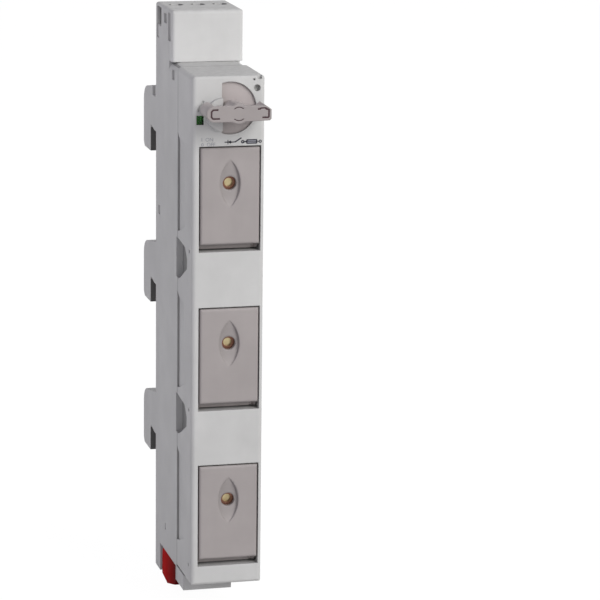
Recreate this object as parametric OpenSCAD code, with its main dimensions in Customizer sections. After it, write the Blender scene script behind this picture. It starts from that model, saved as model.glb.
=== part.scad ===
// Three-pole fuse switch disconnector for hanging on busbars.
// Millimetres. +X to the right, -Y towards the front, +Z up.
// The origin is at the middle busbar, on its upper edge and on the body's back plane.

/* [Housing] */
// width of the housing beside the carrier windows, on both sides together
side_margin = 3.9; // [3.8:0.1:8]
// depth from the back plane to the foot of the fuses, which holds the contacts
switch_depth = 26.1; // [26:0.1:34]
// depth of the front cover along its sides
cover_depth = 25.5; // [22:0.5:28]
// height of the front cover above the handle's axis
top_margin = 11.8; // [11.4:0.1:16]
// height of the front cover below the lowest window
bottom_margin = 7.3; // [6:0.1:12]
// height of the terminal block above the front cover
block_height = 19.4; // [18:0.1:26]
// depth of the terminal block
block_depth = 30; // [28:0.5:36]
// thickness of the side walls
side_wall = 1.3; // [1:0.1:1.5]
// thickness of the front wall
front_wall = 1.8; // [1.4:0.1:2.2]
// thickness of the rear wall
rear_wall = 2; // [1.6:0.1:2.6]
// thickness of the top and bottom walls
end_wall = 1.8; // [1.4:0.1:2.2]
// rounding of the front cover's upright edges
cover_round = 1.6; // [0.8:0.1:2.5]
// depth of the separate cover on the terminal block
terminal_cover_depth = 5.3; // [4:0.1:5.5]
// depth of the pockets in the sides between the carriers
pocket_depth = 2.4; // [1.5:0.1:2.6]
// depth of the bands in the sides beside the carriers
band_depth = 0.7; // [0.3:0.1:0.8]
// depth of the heel that the latch hooks in front of
heel_depth = 9; // [8:0.5:9]
// how much lower than the foot the heel reaches
heel_drop = 5.5; // [4:0.1:8]
// height of the foot below the front cover
foot_height = 6; // [5.5:0.1:8]
// how far the foot reaches under the front cover
foot_depth = 12.2; // [8:0.1:16]
// depth of the opening in each side of the terminal block
side_opening_depth = 7.6; // [4:0.1:7.8]
// height of the opening in each side of the terminal block
side_opening_height = 7; // [4:0.1:7.4]

/* [Busbars and hooks] */
// distance between busbar centres
bar_pitch = 60; // [60:0.5:62]
// thickness of the busbar
bar_thickness = 10; // [5:1:10]
// play of the busbar in the hook
bar_play = 0.4; // [0.2:0.1:0.8]
// distance from the back plane to the hook's outer face
hook_depth = 24; // [20:0.5:28]
// how far a hook reaches down over the busbar
hook_overlap = 9.2; // [6:0.1:12]
// height of a hook above the busbar's upper edge at its root
hook_rise = 17; // [14:0.5:20]
// how much higher the uppermost hook is
hook_extra = 1.2; // [0:0.1:2]
// how much the slot's roof rises towards the back
roof_rise = 1; // [0:0.1:1.4]
// distance from the back plane to where a slot's roof starts to rise
roof_start = 3; // [2.5:0.1:4]
// height of the notch's floor above the slot's roof, in the uppermost hook
notch_height = 13.2; // [12.5:0.1:14]
// distance from the back plane to the far side of that notch
notch_reach = 7; // [5:0.1:7.5]
// drop of the hook's upper side towards the back
hook_fall = 4; // [2:0.5:6]

/* [Fuses and carriers] */
// radius of the fuse body
fuse_radius = 7.65; // [6.5:0.05:7.7]
// length of the fuse over its caps
fuse_length = 36; // [34:0.1:36]
// radius of the fuse's front cap
front_cap_radius = 6.3; // [5:0.05:6.4]
// radius of the fuse's foot cap
foot_cap_radius = 5.7; // [4.5:0.05:5.9]
// thickness of a fuse cap
cap_thickness = 0.6; // [0.4:0.05:0.8]
// how far the switch and the carriers sit to the right of the middle
face_shift = 0.6; // [0:0.1:0.8]
// width of a carrier window
window_width = 23.1; // [22.8:0.1:28]
// height of a carrier window
window_height = 39.2; // [38:0.1:40]
// upper edge of a window above its busbar's upper edge
window_rise = 5; // [4:0.1:5.2]
// gap around a carrier in its window
window_gap = 0.5; // [0.3:0.05:0.6]
// distance from the front to the back edge of the walls above and below a carrier
carrier_wall = 16; // [12:0.5:18]
// height of the finger recess below a carrier's panel
finger_height = 2.3; // [1.8:0.1:3]
// how far the finger recess slopes back at its lower edge
finger_depth = 4.4; // [3.4:0.1:4.8]
// thickness of a carrier's front plate
carrier_plate = 3; // [2.6:0.1:3.2]
// how far a carrier stands proud of the front
carrier_proud = 0.4; // [0:0.1:0.8]
// depth of a carrier's skirt
skirt_depth = 6; // [4:0.5:8]
// wall of a carrier's skirt
skirt_wall = 1.2; // [1:0.1:1.4]
// wall of the sleeve that holds the fuse
sleeve_wall = 1.1; // [0.9:0.05:1.3]
// depth of the sleeve
sleeve_depth = 18; // [14:0.5:20]
// height of the fuse axis below the busbar's upper edge
fuse_drop = 8.8; // [8.4:0.1:9.2]
// radius of the test hole
test_radius = 2.55; // [2:0.05:3]
// length of the lens-shaped grip
grip_length = 17.8; // [14:0.1:20]
// width of the lens-shaped grip
grip_width = 7.6; // [6.4:0.1:9]
// depth of the scooped grip in its middle
grip_depth = 1.2; // [0.6:0.1:1.4]
// depth of a gauge ring
gauge_depth = 5; // [4:0.1:5.4]

/* [Switch] */
// height of the handle's axis above the uppermost window
handle_distance = 14; // [13.6:0.1:14.4]
// radius of the handle's disc
disc_radius = 9.85; // [9.7:0.05:9.85]
// how far the disc lies below the front
disc_inset = 0.9; // [0.8:0.05:1]
// radial play of the disc in its seat
disc_play = 0.15; // [0.1:0.05:0.2]
// thickness of the handle's disc
disc_thickness = 1.4; // [1.2:0.1:1.6]
// radius of the opening over the disc
dial_radius = 9.65; // [9.3:0.05:9.65]
// where the dial opening is cut straight, left of the handle's axis
dial_cut = 3.2; // [3.1:0.1:4]
// how far the half-moon beside the dial is raised
moon_raise = 2; // [1:0.1:2.4]
// radius of the half-moon beside the dial
moon_radius = 6; // [5:0.1:6.2]
// length of the lever to the left of the handle's axis
lever_left = 11.8; // [10:0.1:12]
// length of the lever to the right of the handle's axis
lever_right = 12; // [10:0.1:12.4]
// height of the lever's left part
lever_height = 5.8; // [5.5:0.1:6.4]
// height of the lever's right end
lever_tip = 5.2; // [4.6:0.1:5.6]
// height of the lever over its hub
lever_bulge = 7.2; // [6.6:0.1:7.6]
// height that is left in the lever's waists
lever_waist = 1.8; // [1.4:0.1:4.4]
// thickness of the plate at the lever's front
lever_plate = 1.6; // [1.2:0.1:3.4]
// thickness of the lever, front to back
lever_thickness = 11.2; // [9:0.1:12]
// gap between the lever and the half-moon
lever_gap = 0.6; // [0.4:0.1:1]
// radius of the handle's hub
hub_radius = 2.9; // [2.4:0.1:3]
// radius of the handle's shaft
shaft_radius = 1.8; // [1.5:0.05:1.9]
// number of teeth on the pinion
pinion_teeth = 12; // [12:1:12]
// size of the gear teeth, pitch radius times two over the number of teeth
tooth_module = 0.6; // [0.58:0.01:0.62]
// width of the pinion
pinion_width = 8; // [6:0.1:8.4]
// play between the teeth of pinion and rack
tooth_play = 0.12; // [0.08:0.01:0.2]
// thickness of the switch bar's long rail
rail_thickness = 2.1; // [1.8:0.1:2.2]
// depth of the switch bar's long rail
rail_depth = 12; // [10:0.5:12]
// gap between sliding and turning pieces
slide_gap = 0.2; // [0.15:0.05:0.3]
// radial play of the shaft in its bearing
shaft_play = 0.05; // [0.02:0.01:0.08]
// width of the indicator window
flag_width = 2.7; // [2.4:0.1:2.8]
// height of the indicator window
flag_height = 3.4; // [3:0.1:4]

/* [Conductors] */
// thickness of the copper parts
copper = 1.5; // [1.2:0.1:1.6]
// width of the contacts
contact_width = 10; // [8:0.2:10.4]
// width of a contact bridge
bridge_width = 8; // [6:0.2:8.4]
// height of a silver contact tip
tip_height = 0.5; // [0.3:0.05:0.6]
// how far the top of a busbar contact lies in front of the back plane
contact_inset = 0.4; // [0.3:0.05:0.8]
// gap left between closed contacts
contact_gap = 0.05; // [0.03:0.01:0.1]
// thickness of the carrier's contact blade
blade = 1; // [0.8:0.1:1.1]
// gap on each side of the blade in its jaw
blade_gap = 0.1; // [0.05:0.01:0.2]
// width of a load conductor's strip
strip_width = 7; // [6:0.2:7.2]
// distance between the load conductors' strips
lane_pitch = 9; // [8.2:0.1:9.2]
// how far the rearmost strip lies in front of the tongues
lane_inset = 3.3; // [3:0.1:5]
// distance from the front of a blade's jaw to the foot of the fuse
jaw_distance = 21.8; // [20:0.1:24]
// depth of a blade's jaw
jaw_depth = 8; // [6:0.1:10]

/* [Terminals] */
// distance between terminals
terminal_pitch = 8.4; // [8.2:0.1:8.6]
// distance from the terminal block's front to the tongues in the cages
tongue_inset = 13.3; // [13:0.1:14]
// width of a terminal cage
cage_width = 7; // [6.4:0.1:7.2]
// distance from the outer cages to the sides of the housing
terminal_margin = 1.6; // [1.5:0.05:3]
// height of a terminal cage
cage_height = 8; // [7:0.1:9]
// wall of a terminal cage
cage_wall = 1.5; // [1.2:0.1:1.6]
// opening of the cage behind the tongue
cage_opening = 5.7; // [5:0.1:6]
// travel of a terminal cage
cage_travel = 4; // [3:0.1:4.2]
// radius of a terminal screw's thread
screw_radius = 2; // [1.8:0.1:2.1]
// radius of a cable entry
cable_radius = 2.8; // [2.4:0.1:2.9]

/* [Latch] */
// width of the latch
latch_width = 17.6; // [14:0.1:18]
// height of the latch's stem
stem_height = 14.2; // [13.4:0.1:15]
// width of the latch's stem
stem_width = 6; // [4:0.1:7]
// width of the bevel behind the latch's flat upper side
latch_hollow = 3.6; // [3:0.1:4]
// length of the flat part of the latch's upper side
latch_flat = 11.2; // [8:0.1:13]
// distance from the seam to the latch's front end
latch_lip = 2.9; // [2.4:0.1:5]
// distance from the heel to the latch's lowest point
latch_nose = 10.5; // [8:0.1:14]
// how far the latch's lower side slants up at the front
latch_slant = 3.9; // [3:0.1:5]
// how far the latch sits to the left of the middle
latch_shift = 4; // [3:0.1:4.6]
// travel of the latch
latch_travel = 4; // [3:0.1:4.4]

/* [Show] */
// node to draw, all for the whole object

/* [Hidden] */
$fn = 64;
part_light = [0.79, 0.79, 0.78];
part_grey = [0.67, 0.64, 0.63];
part_red = [0.5, 0.05, 0.07];
part_green = [0.1, 0.5, 0.2];
part_copper = [0.72, 0.45, 0.3];
part_brass = [0.78, 0.62, 0.32];
part_steel = [0.7, 0.7, 0.72];
part_white = [0.93, 0.92, 0.88];
part_clear = [0.8, 0.85, 0.85, 0.4];

half = max((window_width + side_margin) / 2, terminal_pitch + cage_width / 2 + terminal_margin);
inner = half - side_wall;
base_front = -switch_depth;
fuse_back = base_front - 0.1;
fuse_front = fuse_back - fuse_length;
contact_front = fuse_front - 0.1 - blade;
plate_back = contact_front - 0.1;
plate_front = plate_back - carrier_plate;
front = plate_front + carrier_proud;
seam = front + cover_depth;
// length of a cut that passes through a whole carrier
cut_length = 2 * bar_pitch;
handle_rise = bar_pitch + window_rise + handle_distance;
cover_top = handle_rise + top_margin;
cover_bottom = bar_pitch + window_height - window_rise + bottom_margin;
block_front = -block_depth;
block_seam = block_front + terminal_cover_depth;
block_top = cover_top + block_height;
inside_top = cover_top - end_wall;
inside_bottom = -cover_bottom + end_wall;
inside_front = front + front_wall;
slot_depth = bar_thickness + bar_play;

// carriers and fuses, seen from their own pole
sleeve_inner = fuse_radius + 0.2;
sleeve_outer = sleeve_inner + sleeve_wall;
carrier_left = face_shift - window_width / 2 + window_gap;
carrier_right = face_shift + window_width / 2 - window_gap;
carrier_top = window_rise - window_gap;
carrier_low = window_rise - window_height + window_gap;
panel_low = carrier_low + finger_height;
blade_drop = 22;
jaw_front = fuse_back - jaw_distance;
jaw_back = jaw_front + jaw_depth;
blade_back = jaw_back - 2;

// switch
pitch_radius = pinion_teeth * tooth_module / 2;
bar_travel = pitch_radius * PI / 2;
disc_front = front + disc_inset;
disc_back = disc_front + disc_thickness;
pinion_front = inside_front + 2.2;
pinion_back = pinion_front + pinion_width;
moon_front = front - moon_raise;
lever_back = moon_front - lever_gap;
lever_front = lever_back - lever_thickness;
rack_line = face_shift - pitch_radius;
bar_left = -inner + slide_gap;
rail_right = bar_left + rail_thickness;
rail_front = base_front + 2.1;
head_low = bar_pitch + window_rise + end_wall;
head_high = head_low + 7.2;
arm_right = -8.6;
closed_line = 0.2;
tip_line = closed_line - contact_gap - bar_travel;
bridge_top = tip_line - tip_height;
bridge_low = bridge_top - copper;
spring_rise = 3;
table_top = bridge_low - spring_rise - 0.05;
bridge_front = base_front + copper + 3.1;
bridge_back = -rear_wall - 2.5;
bridge_middle = (bridge_front + bridge_back) / 2;
flag_front = disc_back + slide_gap;
flag_back = inside_front + 2;
flag_left = -inner + 0.2;
flag_right = flag_left + flag_width;
flag_low = handle_rise - 5.9;

// conductors
cross_level = [cover_top - 7.8, cover_top - 4.8, cover_top - 1.8];
lane_left = inner - 0.5 - copper;
lane_right = inner - 0.5;
tongue_front = block_front + tongue_inset;
tongue_back = tongue_front + copper;
lane_back = tongue_front - lane_inset;
lane_front = [lane_back - 2 * lane_pitch, lane_back - lane_pitch, lane_back];
tongue_half = 2.4;

// terminals
cage_low = cover_top + 5;
cage_back = tongue_back + cage_opening;
cage_front = tongue_front - 4.8;
cage_face = 2.4;
cable_line = tongue_back + cage_opening / 2;
gauge_outer = sleeve_outer - 0.55;
head_back = cage_front - cage_travel - 0.2;
head_front = head_back - 2;

// foot
foot_low = -cover_bottom - foot_height;
foot_back = seam + 2;
foot_front = seam - foot_depth;
heel_low = foot_low - heel_drop;
latch_middle = -latch_shift;
latch_roof = -cover_bottom - 0.7;
stem_left = latch_middle + 1.6;
stem_right = stem_left + stem_width;
stem_top = latch_roof + stem_height;
latch_bend = -heel_depth - latch_hollow;

function pole(n) = bar_pitch * (2 - n);

// a box between two corners
module block(a, b) {
  translate(a)
    cube(b - a);
}

// a round bar along the depth, from y0 to y1
module rod(x, z, r, y0, y1) {
  translate([x, y1, z])
    rotate([90, 0, 0])
      cylinder(r = r, h = y1 - y0);
}

// what rounds off an upright edge; right and back are +1 or -1 and point out of the body
module upright_round(x, y, z0, z1, r, right, back) {
  translate([x - right * r, y - back * r, z0 - 1])
    difference() {
      translate([right > 0 ? 0 : -r - 1, back > 0 ? 0 : -r - 1, 0])
        cube([r + 1, r + 1, z1 - z0 + 2]);
      translate([0, 0, -1])
        cylinder(r = r, h = z1 - z0 + 4);
    }
}

// what rounds off an edge that runs across the width; back and up are +1 or -1
module cross_round(y, z, x0, x1, r, back, up) {
  translate([x0 - 1, y - back * r, z - up * r])
    difference() {
      translate([0, back > 0 ? 0 : -r - 1, up > 0 ? 0 : -r - 1])
        cube([x1 - x0 + 2, r + 1, r + 1]);
      translate([-1, 0, 0])
        rotate([0, 90, 0])
          cylinder(r = r, h = x1 - x0 + 4);
    }
}

// what rounds off an edge that runs front to back; right and up are +1 or -1
module depth_round(x, z, y0, y1, r, right, up) {
  translate([x - right * r, y0 - 1, z - up * r])
    difference() {
      translate([right > 0 ? 0 : -r - 1, 0, up > 0 ? 0 : -r - 1])
        cube([r + 1, y1 - y0 + 2, r + 1]);
      translate([0, -1, 0])
        rotate([-90, 0, 0])
          cylinder(r = r, h = y1 - y0 + 4);
    }
}

// a profile drawn as depth and height, pushed out across the width
module across(x0, x1) {
  translate([x0, 0, 0])
    rotate([90, 0, 90])
      linear_extrude(height = x1 - x0)
        children();
}

// a profile drawn as width and height, pushed out from y0 to y1
module along(y0, y1) {
  translate([0, y1, 0])
    rotate([90, 0, 0])
      linear_extrude(height = y1 - y0)
        children();
}

// outline of the pockets in the sides, seen from their pole; grow makes it larger all round
module pocket_outline(grow) {
  polygon([
    [seam + 2.1 + grow, 26.6 + grow], [seam - 1.5, 26.6 + grow], [seam - 13.2 - grow / 2, 25.6 + grow],
    [seam - 17.2 - grow, 21.6 + grow / 2], [seam - 16.8 - grow, 18 - grow / 2],
    [seam - 5 - grow / 2, 12.4 - grow], [seam - 1.5, 11.4 - grow], [seam + 2.1 + grow, 11.4 - grow]
  ]);
}

// a flat-ended form on both sides, from its depth in the side to the side's face
module both_sides(depth) {
  across(-half - 1, -half + depth)
    children();
  across(half - depth, half + 1)
    children();
}

// one hook of the rear housing with its busbar slot
module hook(n) {
  rise = n == 1 ? hook_rise + hook_extra : hook_rise;
  shoulder = rise - hook_fall;
  translate([0, 0, pole(n)])
    difference() {
      across(-half, half)
        polygon([
          [-1, rise], [hook_depth - 5.8, shoulder + 0.9], [hook_depth - 3.6, shoulder + 0.1],
          [hook_depth - 1.6, shoulder - 1.3], [hook_depth - 0.4, shoulder - 3.1],
          [hook_depth, shoulder - 4.8], [hook_depth, -hook_overlap + 1.8],
          [hook_depth - 1.8, -hook_overlap], [slot_depth, -hook_overlap],
          [slot_depth, roof_rise], [slot_depth - 2.4, roof_rise - 0.1], [roof_start, 0], [-1, 0]
        ]);
      // shallow notch at the root of the uppermost hook
      if (n == 1)
        both_sides(1.2)
          polygon([
            [1.2, notch_height], [notch_reach, notch_height],
            [notch_reach, rise + 1], [1.2, rise + 1]
          ]);
      block([face_shift - contact_width / 2 - 0.2, slot_depth - 1, -hook_overlap - 1],
            [face_shift + contact_width / 2 + 0.2, slot_depth + 2.2, -0.6]);
    }
}

module rear_housing() {
  color(part_light) {
    difference() {
      union() {
        block([-half, seam, -cover_bottom - 0.5], [half, 0, cover_top]);
        block([-half, block_seam, cover_top - 1], [half, 0, block_top]);
        block([-half, -heel_depth, heel_low], [half, 0, -cover_bottom + 0.5]);
        block([-half, foot_front, foot_low], [5, foot_back, -cover_bottom - 0.1]);
        block([-half, seam, foot_low], [5, foot_back, -cover_bottom + 0.5]);
        for (n = [1:3])
          hook(n);
      }
      // the hollow inside, less the bottoms of the side pockets
      difference() {
        block([-inner, seam - 1, -cover_bottom + 1.3], [inner, -rear_wall, inside_top]);
        for (n = [2:3])
          translate([0, 0, pole(n)])
            both_sides(pocket_depth + 0.8)
              pocket_outline(0.9);
      }
      for (n = [2:3])
        translate([0, 0, pole(n)])
          both_sides(pocket_depth)
            pocket_outline(0);
      block([-inner, block_seam, inside_top - 1], [inner, -rear_wall, block_top - end_wall]);
      block([-inner, block_seam - 1, cover_top + 1.2], [inner, -rear_wall, block_top - end_wall]);
      block([-half + 1.5, foot_front + 1.5, foot_low + 1.5], [3.5, foot_back + 0.5, -cover_bottom - 0.8]);
      // busbar contacts reach the back plane
      for (n = [1:3])
        translate([face_shift, 0, pole(n)]) {
          block([-contact_width / 2 - 0.15, -rear_wall - 1, -hook_overlap],
                [contact_width / 2 + 0.15, 1, -0.15]);
          block([-contact_width / 2 - 0.15, -rear_wall - 1, -1],
                [contact_width / 2 + 0.15, -contact_inset + 0.15, closed_line + copper + 0.15]);
        }
      // cable entries
      for (t = [-1:1])
        translate([t * terminal_pitch, cable_line, block_top - end_wall - 1])
          cylinder(r = cable_radius, h = end_wall + 2);
      // stem of the latch
      block([stem_left - 0.2, -heel_depth - 4.2, latch_roof - 0.8],
            [stem_right + 0.2, -heel_depth - 0.8, latch_roof + 3.2]);
      block([stem_left - 0.2, -heel_depth + 0.8, stem_top - latch_travel - 2.3],
            [stem_right + 0.2, 1, stem_top + 0.4]);
      // openings and slots in the sides
      both_sides(side_wall + 0.1)
        translate([-2.2 - side_opening_depth, block_top - 1.4 - side_opening_height])
          square([side_opening_depth, side_opening_height]);
      both_sides(0.5)
        translate([-5, block_top - 6.4 - side_opening_height])
          square([3.6, 5]);
      both_sides(0.9)
        translate([-20, block_top - 6.2])
          square([5.2, 3.6]);
      both_sides(0.8)
        translate([block_seam - 1, block_top - 12])
          square([3.6, 10.4]);
      both_sides(0.9)
        translate([seam + 6.4, cover_top - 6.1])
          square([4.2, 3.6]);
      both_sides(0.4)
        translate([-8.4, pole(2) + 29])
          square([3.6, 3.4]);
      both_sides(0.5)
        translate([-19.7, -cover_bottom + 8.1])
          square([1.6, 2.4]);
      depth_round(-half, cover_top, seam, block_seam - 1, 3.5, -1, 1);
      depth_round(half, cover_top, seam, block_seam - 1, 3.5, 1, 1);
      cross_round(0, block_top, -half, half, 2, 1, 1);
      depth_round(-half, block_top, block_seam, 0, 1, -1, 1);
      depth_round(half, block_top, block_seam, 0, 1, 1, 1);
    }
    // walls between the poles, walls behind the fuses and seats for the gauge rings
    for (n = [1:3])
      translate([0, 0, pole(n)]) {
        block([arm_right + slide_gap, seam, 12], [lane_left - 0.6, -rear_wall + 0.5, 13.2]);
        difference() {
          union() {
            block([arm_right + slide_gap, base_front + copper + 0.1, -26],
                  [lane_left - 0.6, base_front + copper + 1.6, 12.5]);
            rod(face_shift, -fuse_drop, sleeve_outer + 0.4, fuse_back - gauge_depth - 0.8,
                base_front + copper + 0.6);
          }
          rod(face_shift, -fuse_drop, gauge_outer + 0.1, fuse_back - gauge_depth - 2,
              base_front);
          rod(face_shift, -fuse_drop, foot_cap_radius + 0.5, fuse_back - gauge_depth - 2,
              base_front + copper + 0.1);
          block([face_shift - contact_width / 2 - 0.2, base_front - 0.1, -fuse_drop - 8],
                [face_shift + contact_width / 2 + 0.2, base_front + copper + 0.1, 4]);
          block([face_shift - contact_width / 2 - 0.2, base_front, closed_line - 0.2],
                [face_shift + contact_width / 2 + 0.2, base_front + 5, closed_line + copper + 0.2]);
        }
      }
    // bearing for the shaft's inner end
    difference() {
      union() {
        block([arm_right + slide_gap, pinion_back + 0.4, bar_pitch + 12],
              [inner - 0.3, pinion_back + 2.4, inside_top - 1]);
        block([arm_right + slide_gap, pinion_back + 0.4, bar_pitch + 12],
              [lane_left - 0.6, seam + 0.5, bar_pitch + 13.2]);
      }
      rod(face_shift, handle_rise, shaft_radius + shaft_play, pinion_back - 1, pinion_back + 4);
    }
    // walls between the terminals
    for (s = [-1, 1])
      translate([s * terminal_pitch / 2, 0, 0])
        block([-0.4, block_seam + 0.3, cover_top + 0.4],
              [0.4, -rear_wall + 0.5, block_top - end_wall + 0.5]);
  }
}

module front_cover() {
  color(part_light) {
    difference() {
      block([-half, front, -cover_bottom], [half, seam - 0.1, cover_top]);
      difference() {
        block([-inner, inside_front, inside_bottom], [inner, seam + 1, inside_top]);
        // bottoms of the side pockets
        for (n = [2:3])
          translate([0, 0, pole(n)])
            both_sides(pocket_depth + 0.8)
              pocket_outline(0.9);
        // bottom of the sealing hole
        rod(10.5, cover_top - 4.7, 2, inside_front - 1, inside_front + 0.8);
        // walls above and below each carrier
        for (n = [1:3])
          translate([0, 0, pole(n)]) {
            block([-half, inside_front - 1, window_rise], [half, front + carrier_wall, window_rise + 1.2]);
            block([-half, inside_front - 1, window_rise - window_height - 1.2],
                  [half, front + carrier_wall, window_rise - window_height]);
          }
        // upright webs between the carriers
        for (n = [2:3])
          translate([0, 0, pole(n)])
            block([-0.6, inside_front - 1, window_rise],
                  [0.6, seam - 0.2, bar_pitch + window_rise - window_height]);
      }
      for (n = [1:3])
        translate([0, 0, pole(n)]) {
          block([face_shift - window_width / 2, front - 1, window_rise - window_height],
                [face_shift + window_width / 2, inside_front + 1, window_rise]);
          // recessed band beside the carrier and the small dimple below it
          both_sides(band_depth)
            polygon([
              [seam + 1, 7.5], [seam - 1.5, 5.5], [seam - 4, 4.3], [seam - 12.5, 3.8],
              [seam - 12.5, -27], [seam - 9.5, -28], [seam - 4, -30], [seam + 1, -31]
            ]);
          both_sides(0.5)
            translate([front + 4.7, window_rise - window_height - 0.3])
              circle(r = 0.8);
        }
      // pockets in the sides between the carriers
      for (n = [2:3])
        translate([0, 0, pole(n)])
          both_sides(pocket_depth)
            pocket_outline(0);
      // opening over the handle's disc
      along(front - 1, inside_front + 1)
        difference() {
          translate([face_shift, handle_rise])
            circle(r = dial_radius);
          translate([face_shift - dial_cut - 20, handle_rise - 20])
            square([20, 40]);
        }
      // seat of the disc behind the opening
      rod(face_shift, handle_rise, disc_radius + disc_play, disc_front - slide_gap, inside_front + 0.1);
      // indicator window
      block([flag_left, front - 1, flag_low], [flag_right, inside_front + 1, flag_low + flag_height]);
      // sealing hole and the notch above it
      rod(10.5, cover_top - 4.7, 1.25, front - 1, inside_front + 0.1);
      block([10.6, front - 1, cover_top - 1.4], [12.2, front + 1.2, cover_top + 1]);
      rod(9.4, cover_top - 1.5, 0.4, front - 1, front + 0.8);
      // slanted groove beside the half-moon
      translate([-10.4, front, handle_rise + 0.9])
        rotate([0, 28, 0])
          cube([0.7, 0.8, 4.2], center = true);
      upright_round(-half, front, -cover_bottom, cover_top, cover_round, -1, -1);
      upright_round(half, front, -cover_bottom, cover_top, cover_round, 1, -1);
      cross_round(front, cover_top, -half, half, 0.8, -1, 1);
      cross_round(front, -cover_bottom, -half, half, 1.2, -1, -1);
      depth_round(-half, cover_top, front, seam, 1.6, -1, 1);
      depth_round(half, cover_top, front, seam, 1.6, 1, 1);
      depth_round(-half, -cover_bottom, front, seam, 1.2, -1, -1);
      depth_round(half, -cover_bottom, front, seam, 1.2, 1, -1);
    }
    // half-moon beside the dial
    along(moon_front, front + 0.1)
      difference() {
        translate([face_shift - dial_cut, handle_rise - 2.1])
          circle(r = moon_radius);
        translate([face_shift - dial_cut, handle_rise - 20])
          square([20, 40]);
      }
  }
}

module terminal_cover() {
  color(part_light)
    difference() {
      block([-half, block_front, cover_top + 0.1], [half, block_seam - 0.1, block_top]);
      block([-inner, block_front + 1.6, cover_top + 1.4], [inner, block_seam + 1, block_top - end_wall]);
      both_sides(0.8)
        translate([block_seam - 2.6, block_top - 12])
          square([3.6, 10.4]);
      upright_round(-half, block_front, cover_top, block_top, 1.2, -1, -1);
      upright_round(half, block_front, cover_top, block_top, 1.2, 1, -1);
      cross_round(block_front, block_top, -half, half, 1.2, -1, 1);
      depth_round(-half, block_top, block_front, block_seam, 1, -1, 1);
      depth_round(half, block_top, block_front, block_seam, 1, 1, 1);
    }
}

module indicator_window() {
  color(part_clear)
    block([flag_left + 0.05, front + 0.1, flag_low + 0.05],
          [flag_right - 0.05, inside_front - 0.2, flag_low + flag_height - 0.05]);
}

// outline of the lever's front plate
module lever_outline() {
  translate([-lever_left + lever_height / 2, 0])
    circle(d = lever_height);
  translate([-lever_left + lever_height / 2, -lever_height / 2])
    square([lever_left - lever_height / 2, lever_height]);
  polygon([
    [-0.01, -lever_height / 2], [lever_right - 0.6, -lever_tip / 2],
    [lever_right, -lever_tip / 2 + 0.6], [lever_right, lever_tip / 2 - 1.2],
    [lever_right - 1.6, lever_tip / 2], [-0.01, lever_height / 2]
  ]);
  circle(d = lever_bulge);
}

// outline of the lever behind its front plate, with a waist on each side of the hub
module lever_core() {
  waist_radius = 4.6;
  difference() {
    lever_outline();
    for (x = [-0.44 * lever_left, 0.54 * lever_right])
      for (side = [-1, 1])
        translate([x, side * (lever_waist / 2 + waist_radius)])
          circle(r = waist_radius);
  }
}

// lines engraved in the lever's front, seen from its axis
module lever_lines() {
  left = -lever_left + 1.4;
  right = lever_right - 0.7;
  polygon([
    [left + 2.8, 1.9], [left + 0.8, 1.9], [left, 1.1], [left, -1.1], [left + 0.8, -1.9],
    [left + 3.4, -1.9], [left + 3.4, -1.3], [left + 1.05, -1.3], [left + 0.6, -0.85],
    [left + 0.6, 0.85], [left + 1.05, 1.3], [left + 2.8, 1.3]
  ]);
  polygon([
    [right - 4.4, 1.3], [right - 3.5, 1.3], [right - 3, 1.7], [right - 1.8, 1.7],
    [right - 1.2, 1.2], [right - 0.6, 1.1], [right - 0.6, -1.2], [right - 2.7, -1.2],
    [right - 2.7, -1.8], [right - 0.4, -1.8], [right, -1.4], [right, 1.5], [right - 0.8, 1.8],
    [right - 1.4, 2.2], [right - 3.3, 2.2], [right - 3.8, 1.9], [right - 4.4, 1.9]
  ]);
  difference() {
    circle(r = 2.6);
    circle(r = 2.3);
    translate([-3, -1.75])
      square([6, 3.5]);
  }
}

module handle() {
  color(part_grey) {
    difference() {
      translate([face_shift, 0, handle_rise]) {
        along(lever_front, lever_front + lever_plate)
          lever_outline();
        along(lever_front + lever_plate - 0.1, lever_back)
          lever_core();
      }
      translate([face_shift, 0, handle_rise])
        along(lever_front - 1, lever_front + 0.4)
          lever_lines();
      // small slot in the upper side of the lever's left end
      translate([face_shift - lever_left + 2.2, 0, handle_rise])
        block([0, lever_front + 1.2, lever_height / 2 - 0.7], [1.6, lever_front + 2.2, lever_height]);
    }
    rod(face_shift, handle_rise, hub_radius, lever_back - 0.1, disc_front + 0.1);
    rod(face_shift, handle_rise, disc_radius, disc_front, disc_back);
    rod(face_shift, handle_rise, shaft_radius, disc_back - 0.1, pinion_back + 2.6);
  }
}

// half the angle that one tooth fills on the pitch circle, less its share of the play
function half_tooth() = 90 / pinion_teeth - tooth_play / 2 / pitch_radius * 180 / PI;
function roll(r) = sqrt(max(0, pow(r / base_radius, 2) - 1)) * 180 / PI - acos(min(1, base_radius / r));
base_radius = pitch_radius * cos(20);
root_radius = pitch_radius - 1.25 * tooth_module;
tip_radius = pitch_radius + 0.9 * tooth_module;
function flank(t) = base_radius + (tip_radius - base_radius) * t;
function spread(r) = half_tooth() + roll(pitch_radius) - roll(r);

function turned_point(p, angle) =
  [p[0] * cos(angle) - p[1] * sin(angle), p[0] * sin(angle) + p[1] * cos(angle)];

// a point of a tooth's outline; side is -1 or 1, part runs from 0 at the foot to 1 at the tip
function tooth_point(side, part) =
  [flank(part) * cos(spread(flank(part))), side * flank(part) * sin(spread(flank(part)))];

// outline of one tooth that points along the width
function tooth_outline(steps) = concat(
  [turned_point([root_radius, 0], -spread(base_radius))],
  [for (i = [0:steps]) tooth_point(-1, i / steps)],
  [for (i = [steps:-1:0]) tooth_point(1, i / steps)],
  [turned_point([root_radius, 0], spread(base_radius))]
);

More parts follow.
